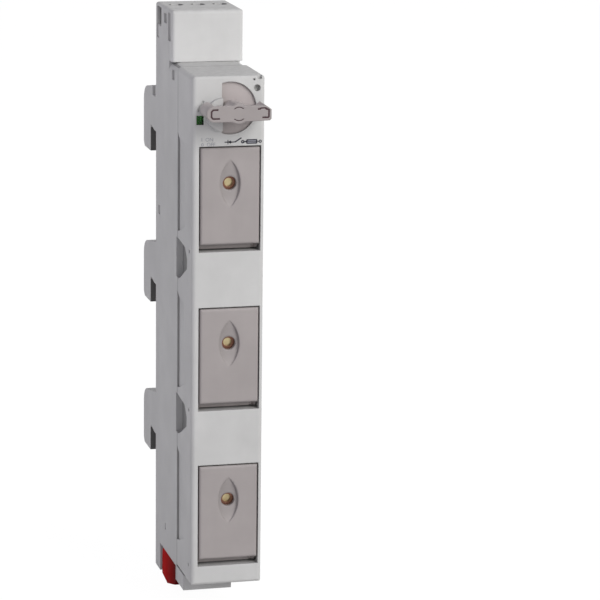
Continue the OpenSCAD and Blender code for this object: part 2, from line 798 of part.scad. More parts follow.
module drive_pinion() {
  outline = [
    for (i = [0:pinion_teeth - 1])
      for (p = tooth_outline(5))
        turned_point(p, 180 + i * 360 / pinion_teeth)
  ];
  color(part_white)
    translate([face_shift, 0, handle_rise])
      along(pinion_front, pinion_back)
        difference() {
          polygon(outline);
          circle(r = shaft_radius + 0.02);
        }
}

module switch_bar() {
  pitch = PI * tooth_module;
  tall = 0.9 * tooth_module;
  deep = 1.2 * tooth_module;
  half_space = pitch / 4 + tooth_play / 4;
  slope = tan(20);
  color(part_white) {
    // rail behind the poles, and the head that reaches forward above the top carrier
    block([bar_left, rail_front, pole(3) - 16], [rail_right, rail_front + rail_depth, head_high]);
    block([bar_left, pinion_front, head_low], [arm_right, rail_front + rail_depth, head_high]);
    block([bar_left, flag_back, head_low], [flag_right, pinion_front + 0.5, flag_low + 4.6]);
    difference() {
      block([arm_right - 0.1, pinion_front + 0.2, head_low],
            [rack_line + tall, pinion_back - 0.2, handle_rise + 3]);
      // tooth spaces of the rack
      for (i = [-8:2])
        translate([0, 0, handle_rise + i * pitch])
          along(pinion_front - 1, pinion_back + 1)
            polygon([
              [rack_line - deep, -half_space + deep * slope],
              [rack_line + tall + 0.1, -half_space - (tall + 0.1) * slope],
              [rack_line + tall + 0.1, half_space + (tall + 0.1) * slope],
              [rack_line - deep, half_space - deep * slope]
            ]);
    }
    block([bar_left, pinion_front + 0.2, head_low], [arm_right, pinion_back - 0.2, handle_rise + 3]);
    for (n = [1:3])
      translate([0, 0, pole(n)]) {
        block([rail_right - 0.1, bridge_middle - 5, table_top - 1.6],
              [face_shift + 4.4, bridge_middle + 5, table_top]);
        rod_up(face_shift, bridge_middle, 1.2, table_top - 0.1, bridge_top + 0.9);
      }
  }
}

// an upright round pin
module rod_up(x, y, r, z0, z1) {
  translate([x, y, z0])
    cylinder(r = r, h = z1 - z0);
}

module flag(low) {
  block([flag_left + 0.1, flag_front, low], [flag_right - 0.1, flag_back, low + 4.6]);
}

module flag_green() {
  color(part_green)
    flag(flag_low - 0.6);
}

module flag_red() {
  color(part_red)
    flag(flag_low - 0.6 - bar_travel);
}

module contact_bridge(n) {
  color(part_copper)
    translate([0, 0, pole(n)])
      difference() {
        union() {
          block([face_shift - bridge_width / 2, bridge_front, bridge_low],
                [face_shift + bridge_width / 2, bridge_back, bridge_top]);
          rod_up(face_shift, bridge_front + 2.2, 1.8, bridge_top - 0.1, tip_line);
          rod_up(face_shift, bridge_back - 2.2, 1.8, bridge_top - 0.1, tip_line);
        }
        rod_up(face_shift, bridge_middle, 1.3, bridge_low - 1, tip_line);
      }
}

// a bowed strip with its ends on a flat and its crown on the other side
module bow(chord, rise, thickness) {
  radius = (chord * chord / 4 + rise * rise) / (2 * rise);
  intersection() {
    translate([0, rise - radius])
      difference() {
        circle(r = radius);
        circle(r = radius - thickness);
      }
    translate([-chord, 0.02])
      square([2 * chord, rise + 1]);
  }
}

module bridge_spring(n) {
  color(part_steel)
    translate([0, 0, pole(n)])
      difference() {
        translate([0, bridge_middle, table_top])
          across(face_shift - 2.6, face_shift + 2.6)
            bow(9.4, spring_rise, 0.35);
        rod_up(face_shift, bridge_middle, 1.3, table_top - 1, bridge_low + 1);
      }
}

module base_contact(n) {
  color(part_copper)
    translate([0, 0, pole(n)]) {
      block([face_shift - contact_width / 2, base_front, -fuse_drop - 6],
            [face_shift + contact_width / 2, base_front + copper, closed_line + copper]);
      block([face_shift - contact_width / 2, base_front + 0.1, closed_line],
            [face_shift + contact_width / 2, bridge_middle - 3.6, closed_line + copper]);
    }
}

module busbar_contact(n) {
  color(part_copper)
    translate([0, 0, pole(n)]) {
      block([face_shift - contact_width / 2, -copper, -hook_overlap + 0.4],
            [face_shift + contact_width / 2, 0, -0.3]);
      block([face_shift - contact_width / 2, -copper, -1],
            [face_shift + contact_width / 2, -contact_inset, closed_line + copper]);
      block([face_shift - contact_width / 2, bridge_middle + 3.6, closed_line],
            [face_shift + contact_width / 2, -contact_inset, closed_line + copper]);
    }
}

module hook_spring(n) {
  color(part_steel)
    translate([face_shift, slot_depth + 2.15, pole(n) - hook_overlap / 2 - 0.4])
      rotate([180, -90, 0])
        linear_extrude(height = contact_width - 1, center = true)
          bow(hook_overlap - 2, 1.9, 0.4);
}

module load_conductor(n) {
  lane = lane_front[n - 1];
  level = cross_level[n - 1];
  end = (n - 2) * terminal_pitch;
  color(part_copper) {
    translate([0, 0, pole(n) - blade_drop]) {
      // jaw for the carrier's blade
      block([face_shift - 4, jaw_front, -0.6 - blade_gap - copper],
            [lane_right, jaw_back, -0.6 - blade_gap]);
      block([face_shift - 4, jaw_front, -0.6 + blade + blade_gap], [face_shift + 4, jaw_back, 1.6]);
      block([face_shift - 4, jaw_back - 1.2, -1], [face_shift + 4, jaw_back, 1.2]);
      block([lane_left, jaw_front, -0.6 - blade_gap - copper], [lane_right, lane + strip_width, 5]);
    }
    // strip up the right side, across to the terminal, and the tongue in the cage
    block([lane_left, lane, pole(n) - blade_drop], [lane_right, lane + strip_width, level + copper]);
    block([end - tongue_half, lane, level], [lane_right, lane + strip_width, level + copper]);
    block([end - tongue_half, lane, level], [end + tongue_half, tongue_back, level + copper]);
    block([end - tongue_half, tongue_front, level],
          [end + tongue_half, tongue_back, cage_low + cage_height + 1]);
  }
}

module terminal_cage(n) {
  x = (n - 2) * terminal_pitch;
  color(part_steel)
    difference() {
      block([x - cage_width / 2, cage_front, cage_low],
            [x + cage_width / 2, cage_back + cage_wall, cage_low + cage_height]);
      block([x - cage_width / 2 + 0.9, cage_front + cage_face, cage_low - 1],
            [x + cage_width / 2 - 0.9, cage_back, cage_low + cage_height + 1]);
      rod(x, cage_low + cage_height / 2, screw_radius + 0.05, cage_front - 1, cage_front + cage_face + 1);
    }
}

module terminal_screw(n) {
  x = (n - 2) * terminal_pitch;
  z = cage_low + cage_height / 2;
  color(part_steel)
    difference() {
      union() {
        rod(x, z, screw_radius, head_back - 0.1, tongue_front - 0.05);
        rod(x, z, screw_radius + 1, head_front, head_back);
      }
      block([x - 0.4, head_front - 1, z - 2.2], [x + 0.4, head_front + 1, z + 2.2]);
      block([x - 2.2, head_front - 1, z - 0.4], [x + 2.2, head_front + 1, z + 0.4]);
    }
}

// the lens-shaped grip, seen from the front
module lens() {
  radius = (grip_length * grip_length + grip_width * grip_width) / (4 * grip_width);
  intersection() {
    translate([radius - grip_width / 2, 0])
      circle(r = radius);
    translate([grip_width / 2 - radius, 0])
      circle(r = radius);
  }
}

module fuse_carrier(n) {
  bevel = 0.5;
  scoop = (grip_length * grip_length / 4 + grip_depth * grip_depth) / (2 * grip_depth);
  color(part_grey)
    translate([0, 0, pole(n)]) {
      difference() {
        union() {
          block([carrier_left, plate_front, carrier_low], [carrier_right, plate_back, carrier_top]);
          // skirt behind the plate
          difference() {
            block([carrier_left, plate_back - 0.1, carrier_low],
                  [carrier_right, plate_back + skirt_depth, carrier_top]);
            block([carrier_left + skirt_wall, plate_back - 0.2, carrier_low + finger_height + skirt_wall],
                  [carrier_right - skirt_wall, plate_back + skirt_depth + 1, carrier_top - skirt_wall]);
            block([carrier_left + skirt_wall, plate_front + finger_depth + 1, carrier_low + skirt_wall],
                  [carrier_right - skirt_wall, plate_back + skirt_depth + 1, carrier_top - skirt_wall]);
          }
        }
        // finger recess below the panel
        across(carrier_left - 1, carrier_right + 1)
          polygon([
            [plate_front - 1, panel_low], [plate_front + 1.8, panel_low],
            [plate_front + finger_depth, carrier_low - 0.05], [plate_front - 1, carrier_low - 0.05]
          ]);
        // scooped grip
        intersection() {
          translate([face_shift, 0, -fuse_drop])
            along(plate_front - 1, plate_front + grip_depth + 1)
              lens();
          translate([face_shift - grip_width, plate_front + grip_depth - scoop, -fuse_drop])
            rotate([0, 90, 0])
              cylinder(r = scoop, h = 2 * grip_width);
        }
        rod(face_shift, -fuse_drop, test_radius, plate_front - 1, plate_back + 1);
        // bevels around the panel
        for (x = [carrier_left, carrier_right])
          translate([x, plate_front, 0])
            rotate([0, 0, 45])
              cube([bevel * 1.414, bevel * 1.414, cut_length], center = true);
        for (z = [panel_low, carrier_top])
          translate([0, plate_front, z])
            rotate([45, 0, 0])
              cube([cut_length, bevel * 1.414, bevel * 1.414], center = true);
        // dark square at the right of the finger recess
        block([carrier_right - 2.4, plate_front - 1, carrier_low - 1],
              [carrier_right - 0.9, plate_front + finger_depth + 0.4, panel_low - 0.2]);
      }
      // sleeve around the fuse
      difference() {
        rod(face_shift, -fuse_drop, sleeve_outer, plate_back - 0.1, plate_back + sleeve_depth);
        rod(face_shift, -fuse_drop, sleeve_inner, plate_back - 0.2, plate_back + sleeve_depth + 1);
        block([face_shift - 3.8, plate_back - 1, -fuse_drop - 12],
              [face_shift + 3.8, contact_front + blade + 0.2, -fuse_drop]);
        rod(face_shift, -fuse_drop, test_radius, plate_back - 2, plate_back + 1);
      }
    }
}

module carrier_contact(n) {
  color(part_brass)
    translate([0, 0, pole(n)])
      difference() {
        union() {
          rod(face_shift, -fuse_drop, front_cap_radius, contact_front, contact_front + blade);
          block([face_shift - 3.5, contact_front, -blade_drop - 0.6],
                [face_shift + 3.5, contact_front + blade, -fuse_drop - 3]);
          block([face_shift - 3.5, contact_front, -blade_drop - 0.6],
                [face_shift + 3.5, blade_back, -blade_drop - 0.6 + blade]);
        }
        rod(face_shift, -fuse_drop, 1.6, contact_front - 1, contact_front + blade + 1);
      }
}

// a piece turned about the fuse axis, from a profile of radius and distance behind the fuse's front
module turned(n) {
  translate([face_shift, fuse_front, pole(n) - fuse_drop])
    rotate([-90, 0, 0])
      rotate_extrude()
        children();
}

module fuse_body(n) {
  color(part_white)
    turned(n)
      polygon([
        [0, 1], [front_cap_radius - cap_thickness - 0.05, 1],
        [front_cap_radius - cap_thickness - 0.05, 5.2], [fuse_radius - 0.6, 5.2], [fuse_radius, 5.8],
        [fuse_radius, fuse_length - 8], [fuse_radius - 0.8, fuse_length - 7.2],
        [foot_cap_radius - cap_thickness - 0.05, fuse_length - 7.2],
        [foot_cap_radius - cap_thickness - 0.05, fuse_length - 1], [0, fuse_length - 1]
      ]);
}

module front_cap(n) {
  color(part_brass)
    turned(n)
      polygon([
        [0, 0], [front_cap_radius - 0.4, 0], [front_cap_radius, 0.4], [front_cap_radius, 5.1],
        [front_cap_radius - cap_thickness, 5.1], [front_cap_radius - cap_thickness, 0.95], [0, 0.95]
      ]);
}

module foot_cap(n) {
  color(part_brass)
    turned(n)
      polygon([
        [0, fuse_length], [foot_cap_radius - 0.4, fuse_length], [foot_cap_radius, fuse_length - 0.4],
        [foot_cap_radius, fuse_length - 7.1], [foot_cap_radius - cap_thickness, fuse_length - 7.1],
        [foot_cap_radius - cap_thickness, fuse_length - 0.95], [0, fuse_length - 0.95]
      ]);
}

module gauge_ring(n) {
  color(part_white)
    turned(n)
      polygon([
        [foot_cap_radius + 0.2, fuse_length - gauge_depth], [gauge_outer, fuse_length - gauge_depth],
        [gauge_outer, fuse_length - 0.1], [foot_cap_radius + 0.2, fuse_length - 0.1]
      ]);
}

module latch() {
  catch_back = -0.3;
  stem_front = -heel_depth - 4;
  color(part_red) {
    across(latch_middle - latch_width / 2, latch_middle + latch_width / 2)
      polygon([
        [seam + latch_lip, latch_roof - 0.4], [latch_bend - latch_flat, latch_roof],
        [latch_bend, latch_roof], [-heel_depth - 0.9, latch_roof - 2.3], [-heel_depth - 0.4, heel_low - 1],
        [-heel_depth - latch_nose, heel_low - 2.2], [seam + latch_lip + latch_slant, heel_low + 1.6],
        [seam + latch_lip + 0.8, foot_low + 0.1]
      ]);
    block([stem_left, stem_front, latch_roof - 0.8], [stem_right, stem_front + 3, stem_top]);
    block([stem_left, stem_front, stem_top - 2], [stem_right, catch_back, stem_top]);
    block([stem_left, stem_front - 5, stem_top - 2], [stem_right, stem_front + 3, stem_top]);
  }
}

module latch_spring() {
  middle = -heel_depth - 6.8;
  top = stem_top - 2.1;
  turn = 2.4;
  color(part_steel)
    across(stem_left + 0.8, stem_right - 0.8)
      polygon([
        [middle - 1.8, top], [middle + 1.8, top - 0.9 * turn], [middle - 1.8, top - 2 * turn],
        [middle + 1.8, top - 3 * turn], [middle - 1.8, -cover_bottom + 1.4],
        [middle - 1, -cover_bottom + 1.4], [middle + 2.4, top - 3 * turn], [middle - 1.2, top - 2 * turn],
        [middle + 2.4, top - 0.9 * turn], [middle - 1.2, top]
      ]);
}

rear_housing();
front_cover();
terminal_cover();
indicator_window();
handle();
drive_pinion();
switch_bar();
flag_green();
flag_red();
contact_bridge(1);  // contact_bridge_1
contact_bridge(2);  // contact_bridge_2
contact_bridge(3);  // contact_bridge_3
bridge_spring(1);  // bridge_spring_1
bridge_spring(2);  // bridge_spring_2
bridge_spring(3);  // bridge_spring_3
base_contact(1);  // base_contact_1
base_contact(2);  // base_contact_2
base_contact(3);  // base_contact_3
busbar_contact(1);  // busbar_contact_1
busbar_contact(2);  // busbar_contact_2
busbar_contact(3);  // busbar_contact_3
hook_spring(1);  // hook_spring_1
hook_spring(2);  // hook_spring_2
hook_spring(3);  // hook_spring_3
load_conductor(1);  // load_conductor_1
load_conductor(2);  // load_conductor_2
load_conductor(3);  // load_conductor_3
terminal_cage(1);  // terminal_cage_1
terminal_cage(2);  // terminal_cage_2
terminal_cage(3);  // terminal_cage_3
terminal_screw(1);  // terminal_screw_1
terminal_screw(2);  // terminal_screw_2
terminal_screw(3);  // terminal_screw_3
fuse_carrier(1);  // fuse_carrier_1
fuse_carrier(2);  // fuse_carrier_2
fuse_carrier(3);  // fuse_carrier_3
carrier_contact(1);  // carrier_contact_1
carrier_contact(2);  // carrier_contact_2
carrier_contact(3);  // carrier_contact_3
fuse_body(1);  // fuse_body_1
fuse_body(2);  // fuse_body_2
fuse_body(3);  // fuse_body_3
front_cap(1);  // front_cap_1
front_cap(2);  // front_cap_2
front_cap(3);  // front_cap_3
foot_cap(1);  // foot_cap_1
foot_cap(2);  // foot_cap_2
foot_cap(3);  // foot_cap_3
gauge_ring(1);  // gauge_ring_1
gauge_ring(2);  // gauge_ring_2
gauge_ring(3);  // gauge_ring_3
latch();
latch_spring();
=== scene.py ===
"""Looks of a three-pole fuse switch disconnector that hangs on busbars.

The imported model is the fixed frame. The script gives every part of it a finish,
adds the pieces that are better modelled here, and sets up a pale studio.
"""
import math

import bpy
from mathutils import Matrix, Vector


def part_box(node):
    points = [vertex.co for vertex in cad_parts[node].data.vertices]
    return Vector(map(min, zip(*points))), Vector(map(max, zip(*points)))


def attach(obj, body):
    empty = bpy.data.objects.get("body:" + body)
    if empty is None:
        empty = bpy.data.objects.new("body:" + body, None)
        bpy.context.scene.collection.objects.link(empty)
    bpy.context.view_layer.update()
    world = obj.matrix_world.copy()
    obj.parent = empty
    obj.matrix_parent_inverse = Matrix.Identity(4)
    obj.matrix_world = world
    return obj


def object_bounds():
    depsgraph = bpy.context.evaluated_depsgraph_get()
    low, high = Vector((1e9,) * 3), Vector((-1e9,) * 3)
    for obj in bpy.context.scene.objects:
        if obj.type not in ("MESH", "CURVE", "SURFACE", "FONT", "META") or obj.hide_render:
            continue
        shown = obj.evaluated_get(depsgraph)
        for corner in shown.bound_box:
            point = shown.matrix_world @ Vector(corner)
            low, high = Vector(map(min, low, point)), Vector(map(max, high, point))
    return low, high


bl_info = {
    "name": "Fuse switch disconnector",
    "version": (1, 0, 0),
    "blender": (4, 5, 0),
    "location": "3D View > Sidebar > Disconnector",
    "description": "Dresses a three-pole busbar fuse switch disconnector",
    "category": "Object",
}

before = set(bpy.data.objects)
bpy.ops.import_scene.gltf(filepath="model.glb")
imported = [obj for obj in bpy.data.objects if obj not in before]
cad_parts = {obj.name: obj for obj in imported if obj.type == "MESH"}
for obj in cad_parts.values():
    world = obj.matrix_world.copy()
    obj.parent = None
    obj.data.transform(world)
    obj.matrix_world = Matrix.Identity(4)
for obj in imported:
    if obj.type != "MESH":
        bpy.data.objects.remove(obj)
CAD_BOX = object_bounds()
MM = 0.001


def low(node):
    """The lowest corner of a carried-over part."""
    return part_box(node)[0]


def high(node):
    """The highest corner of a carried-over part."""
    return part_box(node)[1]


def middle(node):
    """The middle of a carried-over part's box."""
    return (low(node) + high(node)) / 2


def main_front(node):
    """The place of the largest flat area of a part that looks forwards."""
    straight_forwards = -0.99
    areas = {}
    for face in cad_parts[node].data.polygons:
        if face.normal.y < straight_forwards:
            place = round(face.center.y, 5)
            areas[place] = areas.get(place, 0) + face.area
    return max(areas, key=areas.get)


# places worked out from the frame
FACE_X = middle("fuse_carrier_1").x
PLATE_FRONT = low("fuse_carrier_1").y
POLE_PITCH = middle("front_cap_1").z - middle("front_cap_2").z
AXIS_Z = middle("drive_pinion").z
LEVER_FRONT = low("handle").y
LEVER_LEFT = low("handle").x
LEVER_RIGHT = high("handle").x
HALF = high("front_cover").x
SEAM = high("front_cover").y
BODY_FRONT = main_front("front_cover")

# how dark the side pockets and the seam get, and the half width of the seam's line
POCKET_SHADE = 0.78
SEAM_SHADE = 0.5
SEAM_WIDTH = 0.9 * MM
# the pockets' floors lie this far inside the sides, and begin this far behind the front
SIDE_RELIEF = 0.95 * MM
FRONT_RELIEF = 6 * MM
# the depth of the busbar slots, and how far from the back plane the shade begins
SLOT_DEPTH = 10.3 * MM
BACK_PLAY = 0.3 * MM
# parts of a face's normal from which it counts as level, as looking forwards or sideways
LEVEL_FACE = 0.6
FORWARD_FACE = 0.4
SIDE_FACE = 0.5

# how bright the painted shade in the shaded places, the paler edges (partly wear, partly a painted
# highlight) and the painted shade in the creases are beside the finish itself
PLACE_TONE = 0.1
WEAR_AND_HIGHLIGHT_TONE = 1.35
METAL_EDGE_TONE = 1.3
CREASE_TONE = 0.35
# how strongly the edge mask shows, and how much metal takes of it
EDGE_GAIN = 4.0
METAL_EDGE = 0.3
# the middle ranges of the textures, which are spread over the whole drift
TONE_RANGE = (0.35, 0.65)
STAIN_RANGE = (0.42, 0.68)
GLOSS_RANGE = (0.3, 0.7)
# how far the texture takes the roughness down and up, for plastic and for metal
GLOSS_DRIFT = (0.06, 0.08)
METAL_GLOSS_DRIFT = (0.08, 0.14)
# how much of the metal's stains shows, and the shares in which the textures are mixed
STAIN_AMOUNT = 0.5
LINE_SHARE = 0.5
BROAD_SHARE = 0.7
STREAK_SHARE = 0.3

# the printed row, in millimetres: its drop below the lever's axis, the place of its zero,
# the radius of its round ends and half the height of its fuse
ROW_DROP = 12.5
ROW_SHIFT = 0.48
DOT_RADIUS = 0.42
FUSE_HALF = 0.6
# the ink: how far it stands before the front and reaches behind it
INK_RISE = 0.03 * MM
INK_DEPTH = 0.1 * MM
# the signs: their height, and the height of a capital beside the font's size
SIGN_HEIGHT = 1.35 * MM
CAPITAL_HEIGHT = 0.72

# the lines of painted shade in the lever's grooves, in millimetres: how far each outline's zero
# lies inside the lever's end, and its points from there and from the axis
LEFT_END = 1.4
LEFT_LINE = [
    (3.0, 1.95), (0.8, 1.95), (0, 1.15), (0, -1.15), (0.8, -1.95), (3.5, -1.95), (3.5, -1.2),
    (1.1, -1.2), (0.75, -0.85), (0.75, 0.85), (1.1, 1.2), (3.0, 1.2),
]
RIGHT_END = 0.7
RIGHT_LINE = [
    (-4.4, 1.2), (-3.5, 1.2), (-3, 1.55), (-1.9, 1.55), (-1.3, 1.1), (-0.75, 1.0), (-0.75, -1.1),
    (-2.7, -1.1), (-2.7, -1.85), (-0.4, -1.85), (0, -1.45), (0, 1.5), (-0.8, 1.8), (-1.4, 2.2),
    (-3.3, 2.2), (-3.8, 1.95), (-4.4, 1.95),
]
# the two arcs of painted shade on the hub: radius, width and the angles of their ends
HUB_RADIUS = 2.45 * MM
HUB_LINE = 0.32 * MM
HUB_SPANS = [(38, 142), (222, 318)]
# the painted shade begins and ends this far behind the lever's front
GROOVE_SHADE_TOP = 0.1 * MM
GROOVE_SHADE_FLOOR = 0.45 * MM

# name, place, aim, size, share of the key light's power and colour of each lamp
LAMPS = [
    ("key", (0.72, -1.25, 0.86), (0, -0.05, 0.03), (0.9, 1.1), 1, (1, 1, 0.985)),
    ("top", (0.1, -0.1, 1.3), (0, -0.03, 0), (0.9, 0.9), 0.04, (1, 1, 1)),
    ("side", (-0.95, -0.45, 0.62), (0, -0.03, 0.06), (0.6, 0.6), 0.11, (0.86, 0.84, 1)),
]
FLOOR_SIZE = 8
FLOOR_GAP = 0.2 * MM
# how much of the floor's look is its glow
GLOW_SHARE = 0.88

# the photograph's camera: place in metres, turn in degrees, lens in millimetres
CAMERA_PLACE = (-0.24059, -1.118455, 0.250451)
CAMERA_TURN = (77.33915, -0.649794, -14.141411)
CAMERA_LENS = 180.513409


# small helpers for modelling

def deselect():
    if bpy.context.object and bpy.context.object.mode != "OBJECT":
        bpy.ops.object.mode_set(mode="OBJECT")
    bpy.ops.object.select_all(action="DESELECT")


def settle(piece):
    """Puts the piece's place into its mesh, so that its object stays at the origin."""
    deselect()
    piece.select_set(True)
    bpy.context.view_layer.objects.active = piece
    bpy.ops.object.transform_apply(location=True, rotation=True, scale=True)


def outline_piece(name, points, y_front, y_back):
    """A flat outline, seen from the front, pushed back into a closed solid."""
    deselect()
    bpy.ops.mesh.primitive_circle_add(vertices=len(points), fill_type="NGON")
    piece = bpy.context.object
    piece.name = name
    for vertex, (x, z) in zip(piece.data.vertices, points):
        vertex.co = (x, y_front, z)
    bpy.ops.object.mode_set(mode="EDIT")
    bpy.ops.mesh.select_all(action="SELECT")
    bpy.ops.mesh.extrude_region_move(TRANSFORM_OT_translate={"value": (0, y_back - y_front, 0)})
    bpy.ops.mesh.select_all(action="SELECT")
    bpy.ops.mesh.normals_make_consistent(inside=False)
    bpy.ops.object.mode_set(mode="OBJECT")
    settle(piece)
    return piece


def arc(x, z, radius, start, end, steps):
    """Points on an arc, angles in degrees from +X towards +Z."""
    return [
        (x + radius * math.cos(math.radians(start + (end - start) * i / steps)),
         z + radius * math.sin(math.radians(start + (end - start) * i / steps)))
        for i in range(steps + 1)
    ]


def band(points, width):
    """The outline of a line of that width along the points."""
    left, right = [], []
    for i, point in enumerate(points):
        before = Vector(points[max(0, i - 1)])
        after = Vector(points[min(len(points) - 1, i + 1)])
        along = (after - before).normalized()
        side = Vector((-along.y, along.x)) * width / 2
        left.append(tuple(Vector(point) + side))
        right.append(tuple(Vector(point) - side))
    return left + right[::-1]


def ring(x, z, radius, width, start=0, end=360, steps=32):
    """The outline of a round line, or of a part of it."""
    return band(arc(x, z, radius, start, end, steps), width)


def join(name, pieces):
    """Makes one object of several."""
    deselect()
    for piece in pieces:
        piece.select_set(True)
    bpy.context.view_layer.objects.active = pieces[0]
    if len(pieces) > 1:
        bpy.ops.object.join()
    pieces[0].name = name
    return pieces[0]


def add_words(name, words, x, z, height, y, depth):
    """Printed signs on a face that looks forwards; x and z are their lower left corner."""
    deselect()
    bpy.ops.object.text_add(location=(x, y, z), rotation=(math.pi / 2, 0, 0))
    piece = bpy.context.object
    piece.data.body = words
    piece.data.size = height / CAPITAL_HEIGHT
    piece.data.extrude = depth
    piece.data.resolution_u = 6
    piece.name = name
    bpy.ops.object.convert(target="MESH")
    piece = bpy.context.object
    settle(piece)
    return piece


def finish_piece(piece, material, body):
    piece.data.materials.clear()
    piece.data.materials.append(material)
    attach(piece, body)


# shared effects

def new_group(name, inputs, outputs):
    group = bpy.data.node_groups.new(name, "ShaderNodeTree")
    for label, kind, default in inputs:
        socket = group.interface.new_socket(label, in_out="INPUT", socket_type=kind)
        socket.default_value = default
    for label, kind in outputs:
        group.interface.new_socket(label, in_out="OUTPUT", socket_type=kind)
    return group, group.nodes.new("NodeGroupInput"), group.nodes.new("NodeGroupOutput")


def tree_node(tree, kind, links=None, **values):
    """Adds a node and sets its values. links has the inputs to link or set, by name or number."""
    made = tree.nodes.new(kind)
    for key, value in values.items():
        setattr(made, key, value)
    for key, value in (links or {}).items():
        socket = made.inputs[key]
        if isinstance(value, bpy.types.NodeSocket):
            tree.links.new(value, socket)
        else:
            socket.default_value = value
    return made


def maths(tree, operation, *terms, clamp=False):
    made = tree.nodes.new("ShaderNodeMath")
    made.operation = operation
    made.use_clamp = clamp
    for socket, term in zip(made.inputs, terms):
        if isinstance(term, bpy.types.NodeSocket):
            tree.links.new(term, socket)
        else:
            socket.default_value = term
    return made.outputs[0]


def mix_colour(tree, factor, first, second):
    made = tree.nodes.new("ShaderNodeMix")
    made.data_type = "RGBA"
    for index, term in ((0, factor), (6, first), (7, second)):
        if isinstance(term, bpy.types.NodeSocket):
            tree.links.new(term, made.inputs[index])
        else:
            made.inputs[index].default_value = term
    return made.outputs[2]


def make_edge_group():
    """Edge mask and softened normal from the difference of a rounded normal and the plain one."""
    group, entry, exit_node = new_group(
        "soft_edges",
        [("Radius", "NodeSocketFloat", 0.3 * MM)],
        [("Edge", "NodeSocketFloat"), ("Normal", "NodeSocketVector")])
    bevel = tree_node(group, "ShaderNodeBevel", samples=6)
    group.links.new(entry.outputs["Radius"], bevel.inputs["Radius"])
    plain = group.nodes.new("ShaderNodeNewGeometry")
    dot = tree_node(group, "ShaderNodeVectorMath", {
        0: bevel.outputs[0], 1: plain.outputs["Normal"]}, operation="DOT_PRODUCT")
    edge = maths(group, "SUBTRACT", 1.0, dot.outputs["Value"])
    edge = maths(group, "MULTIPLY", edge, EDGE_GAIN, clamp=True)
    group.links.new(edge, exit_node.inputs["Edge"])
    group.links.new(bevel.outputs[0], exit_node.inputs["Normal"])
    return group


def make_grain_group():
    """Fine moulded grain: a height for the bump, a colour drift and a roughness drift."""
    group, entry, exit_node = new_group(
        "moulded_grain",
        [("Scale", "NodeSocketFloat", 2600.0)],
        [("Height", "NodeSocketFloat"), ("Tone", "NodeSocketFloat"), ("Gloss", "NodeSocketFloat")])
    place = group.nodes.new("ShaderNodeTexCoord")
    fine = tree_node(group, "ShaderNodeTexNoise", {
        "Vector": place.outputs["Object"], "Scale": entry.outputs["Scale"],
        "Detail": 3.0, "Roughness": 0.6})
    broad = tree_node(group, "ShaderNodeTexNoise", {
        "Vector": place.outputs["Object"], "Scale": 60.0, "Detail": 4.0, "Roughness": 0.55})
    flow = tree_node(group, "ShaderNodeMapping", {
        "Vector": place.outputs["Object"], "Scale": (1.0, 1.0, 0.2)})
    streak = tree_node(group, "ShaderNodeTexNoise", {
        "Vector": flow.outputs[0], "Scale": 140.0, "Detail": 3.0, "Roughness": 0.5})
    tone = maths(group, "ADD", maths(group, "MULTIPLY", broad.outputs["Fac"], BROAD_SHARE),
                 maths(group, "MULTIPLY", streak.outputs["Fac"], STREAK_SHARE))
    group.links.new(fine.outputs["Fac"], exit_node.inputs["Height"])
    group.links.new(tone, exit_node.inputs["Tone"])
    group.links.new(streak.outputs["Fac"], exit_node.inputs["Gloss"])
    return group


def make_shade_and_dust_group():
    """Painted shade where surfaces meet, from ambient occlusion, and specks on faces that look up.
    Dust makes the specks on most finishes; on the housing and the terminal cover they are painted
    shade on the tops.
    """
    group, entry, exit_node = new_group(
        "crease_shade_and_top_dust",
        [("Distance", "NodeSocketFloat", 2 * MM)],
        [("Crease", "NodeSocketFloat"), ("Top", "NodeSocketFloat")])
    near = tree_node(group, "ShaderNodeAmbientOcclusion", samples=6)
    group.links.new(entry.outputs["Distance"], near.inputs["Distance"])
    crease = maths(group, "SUBTRACT", 1.0, near.outputs["AO"], clamp=True)
    plain = group.nodes.new("ShaderNodeNewGeometry")
    split = tree_node(group, "ShaderNodeSeparateXYZ", {0: plain.outputs["Normal"]})
    place = group.nodes.new("ShaderNodeTexCoord")
    specks = tree_node(group, "ShaderNodeTexNoise", {
        "Vector": place.outputs["Object"], "Scale": 420.0, "Detail": 5.0, "Roughness": 0.7})
    top = maths(group, "MULTIPLY", maths(group, "MAXIMUM", split.outputs["Z"], 0.0),
                specks.outputs["Fac"], clamp=True)
    group.links.new(crease, exit_node.inputs["Crease"])
    group.links.new(top, exit_node.inputs["Top"])
    return group


def make_brushed_group():
    """Rolled or drawn metal: fine lines along the height, stains and a roughness."""
    group, entry, exit_node = new_group(
        "rolled_metal",
        [("Lines", "NodeSocketFloat", 900.0)],
        [("Height", "NodeSocketFloat"), ("Tone", "NodeSocketFloat"), ("Gloss", "NodeSocketFloat")])
    place = group.nodes.new("ShaderNodeTexCoord")
    flow = tree_node(group, "ShaderNodeMapping", {
        "Vector": place.outputs["Object"], "Scale": (1.0, 1.0, 0.06)})
    lines = tree_node(group, "ShaderNodeTexNoise", {
        "Vector": flow.outputs[0], "Scale": entry.outputs["Lines"],
        "Detail": 3.0, "Roughness": 0.6})
    stain = tree_node(group, "ShaderNodeTexNoise", {
        "Vector": place.outputs["Object"], "Scale": 220.0,
        "Detail": 6.0, "Roughness": 0.65, "Distortion": 0.6})
    group.links.new(lines.outputs["Fac"], exit_node.inputs["Height"])
    group.links.new(stain.outputs["Fac"], exit_node.inputs["Tone"])
    mixed = maths(group, "ADD", maths(group, "MULTIPLY", lines.outputs["Fac"], LINE_SHARE),
                  maths(group, "MULTIPLY", stain.outputs["Fac"], 1 - LINE_SHARE))
    group.links.new(mixed, exit_node.inputs["Gloss"])
    return group


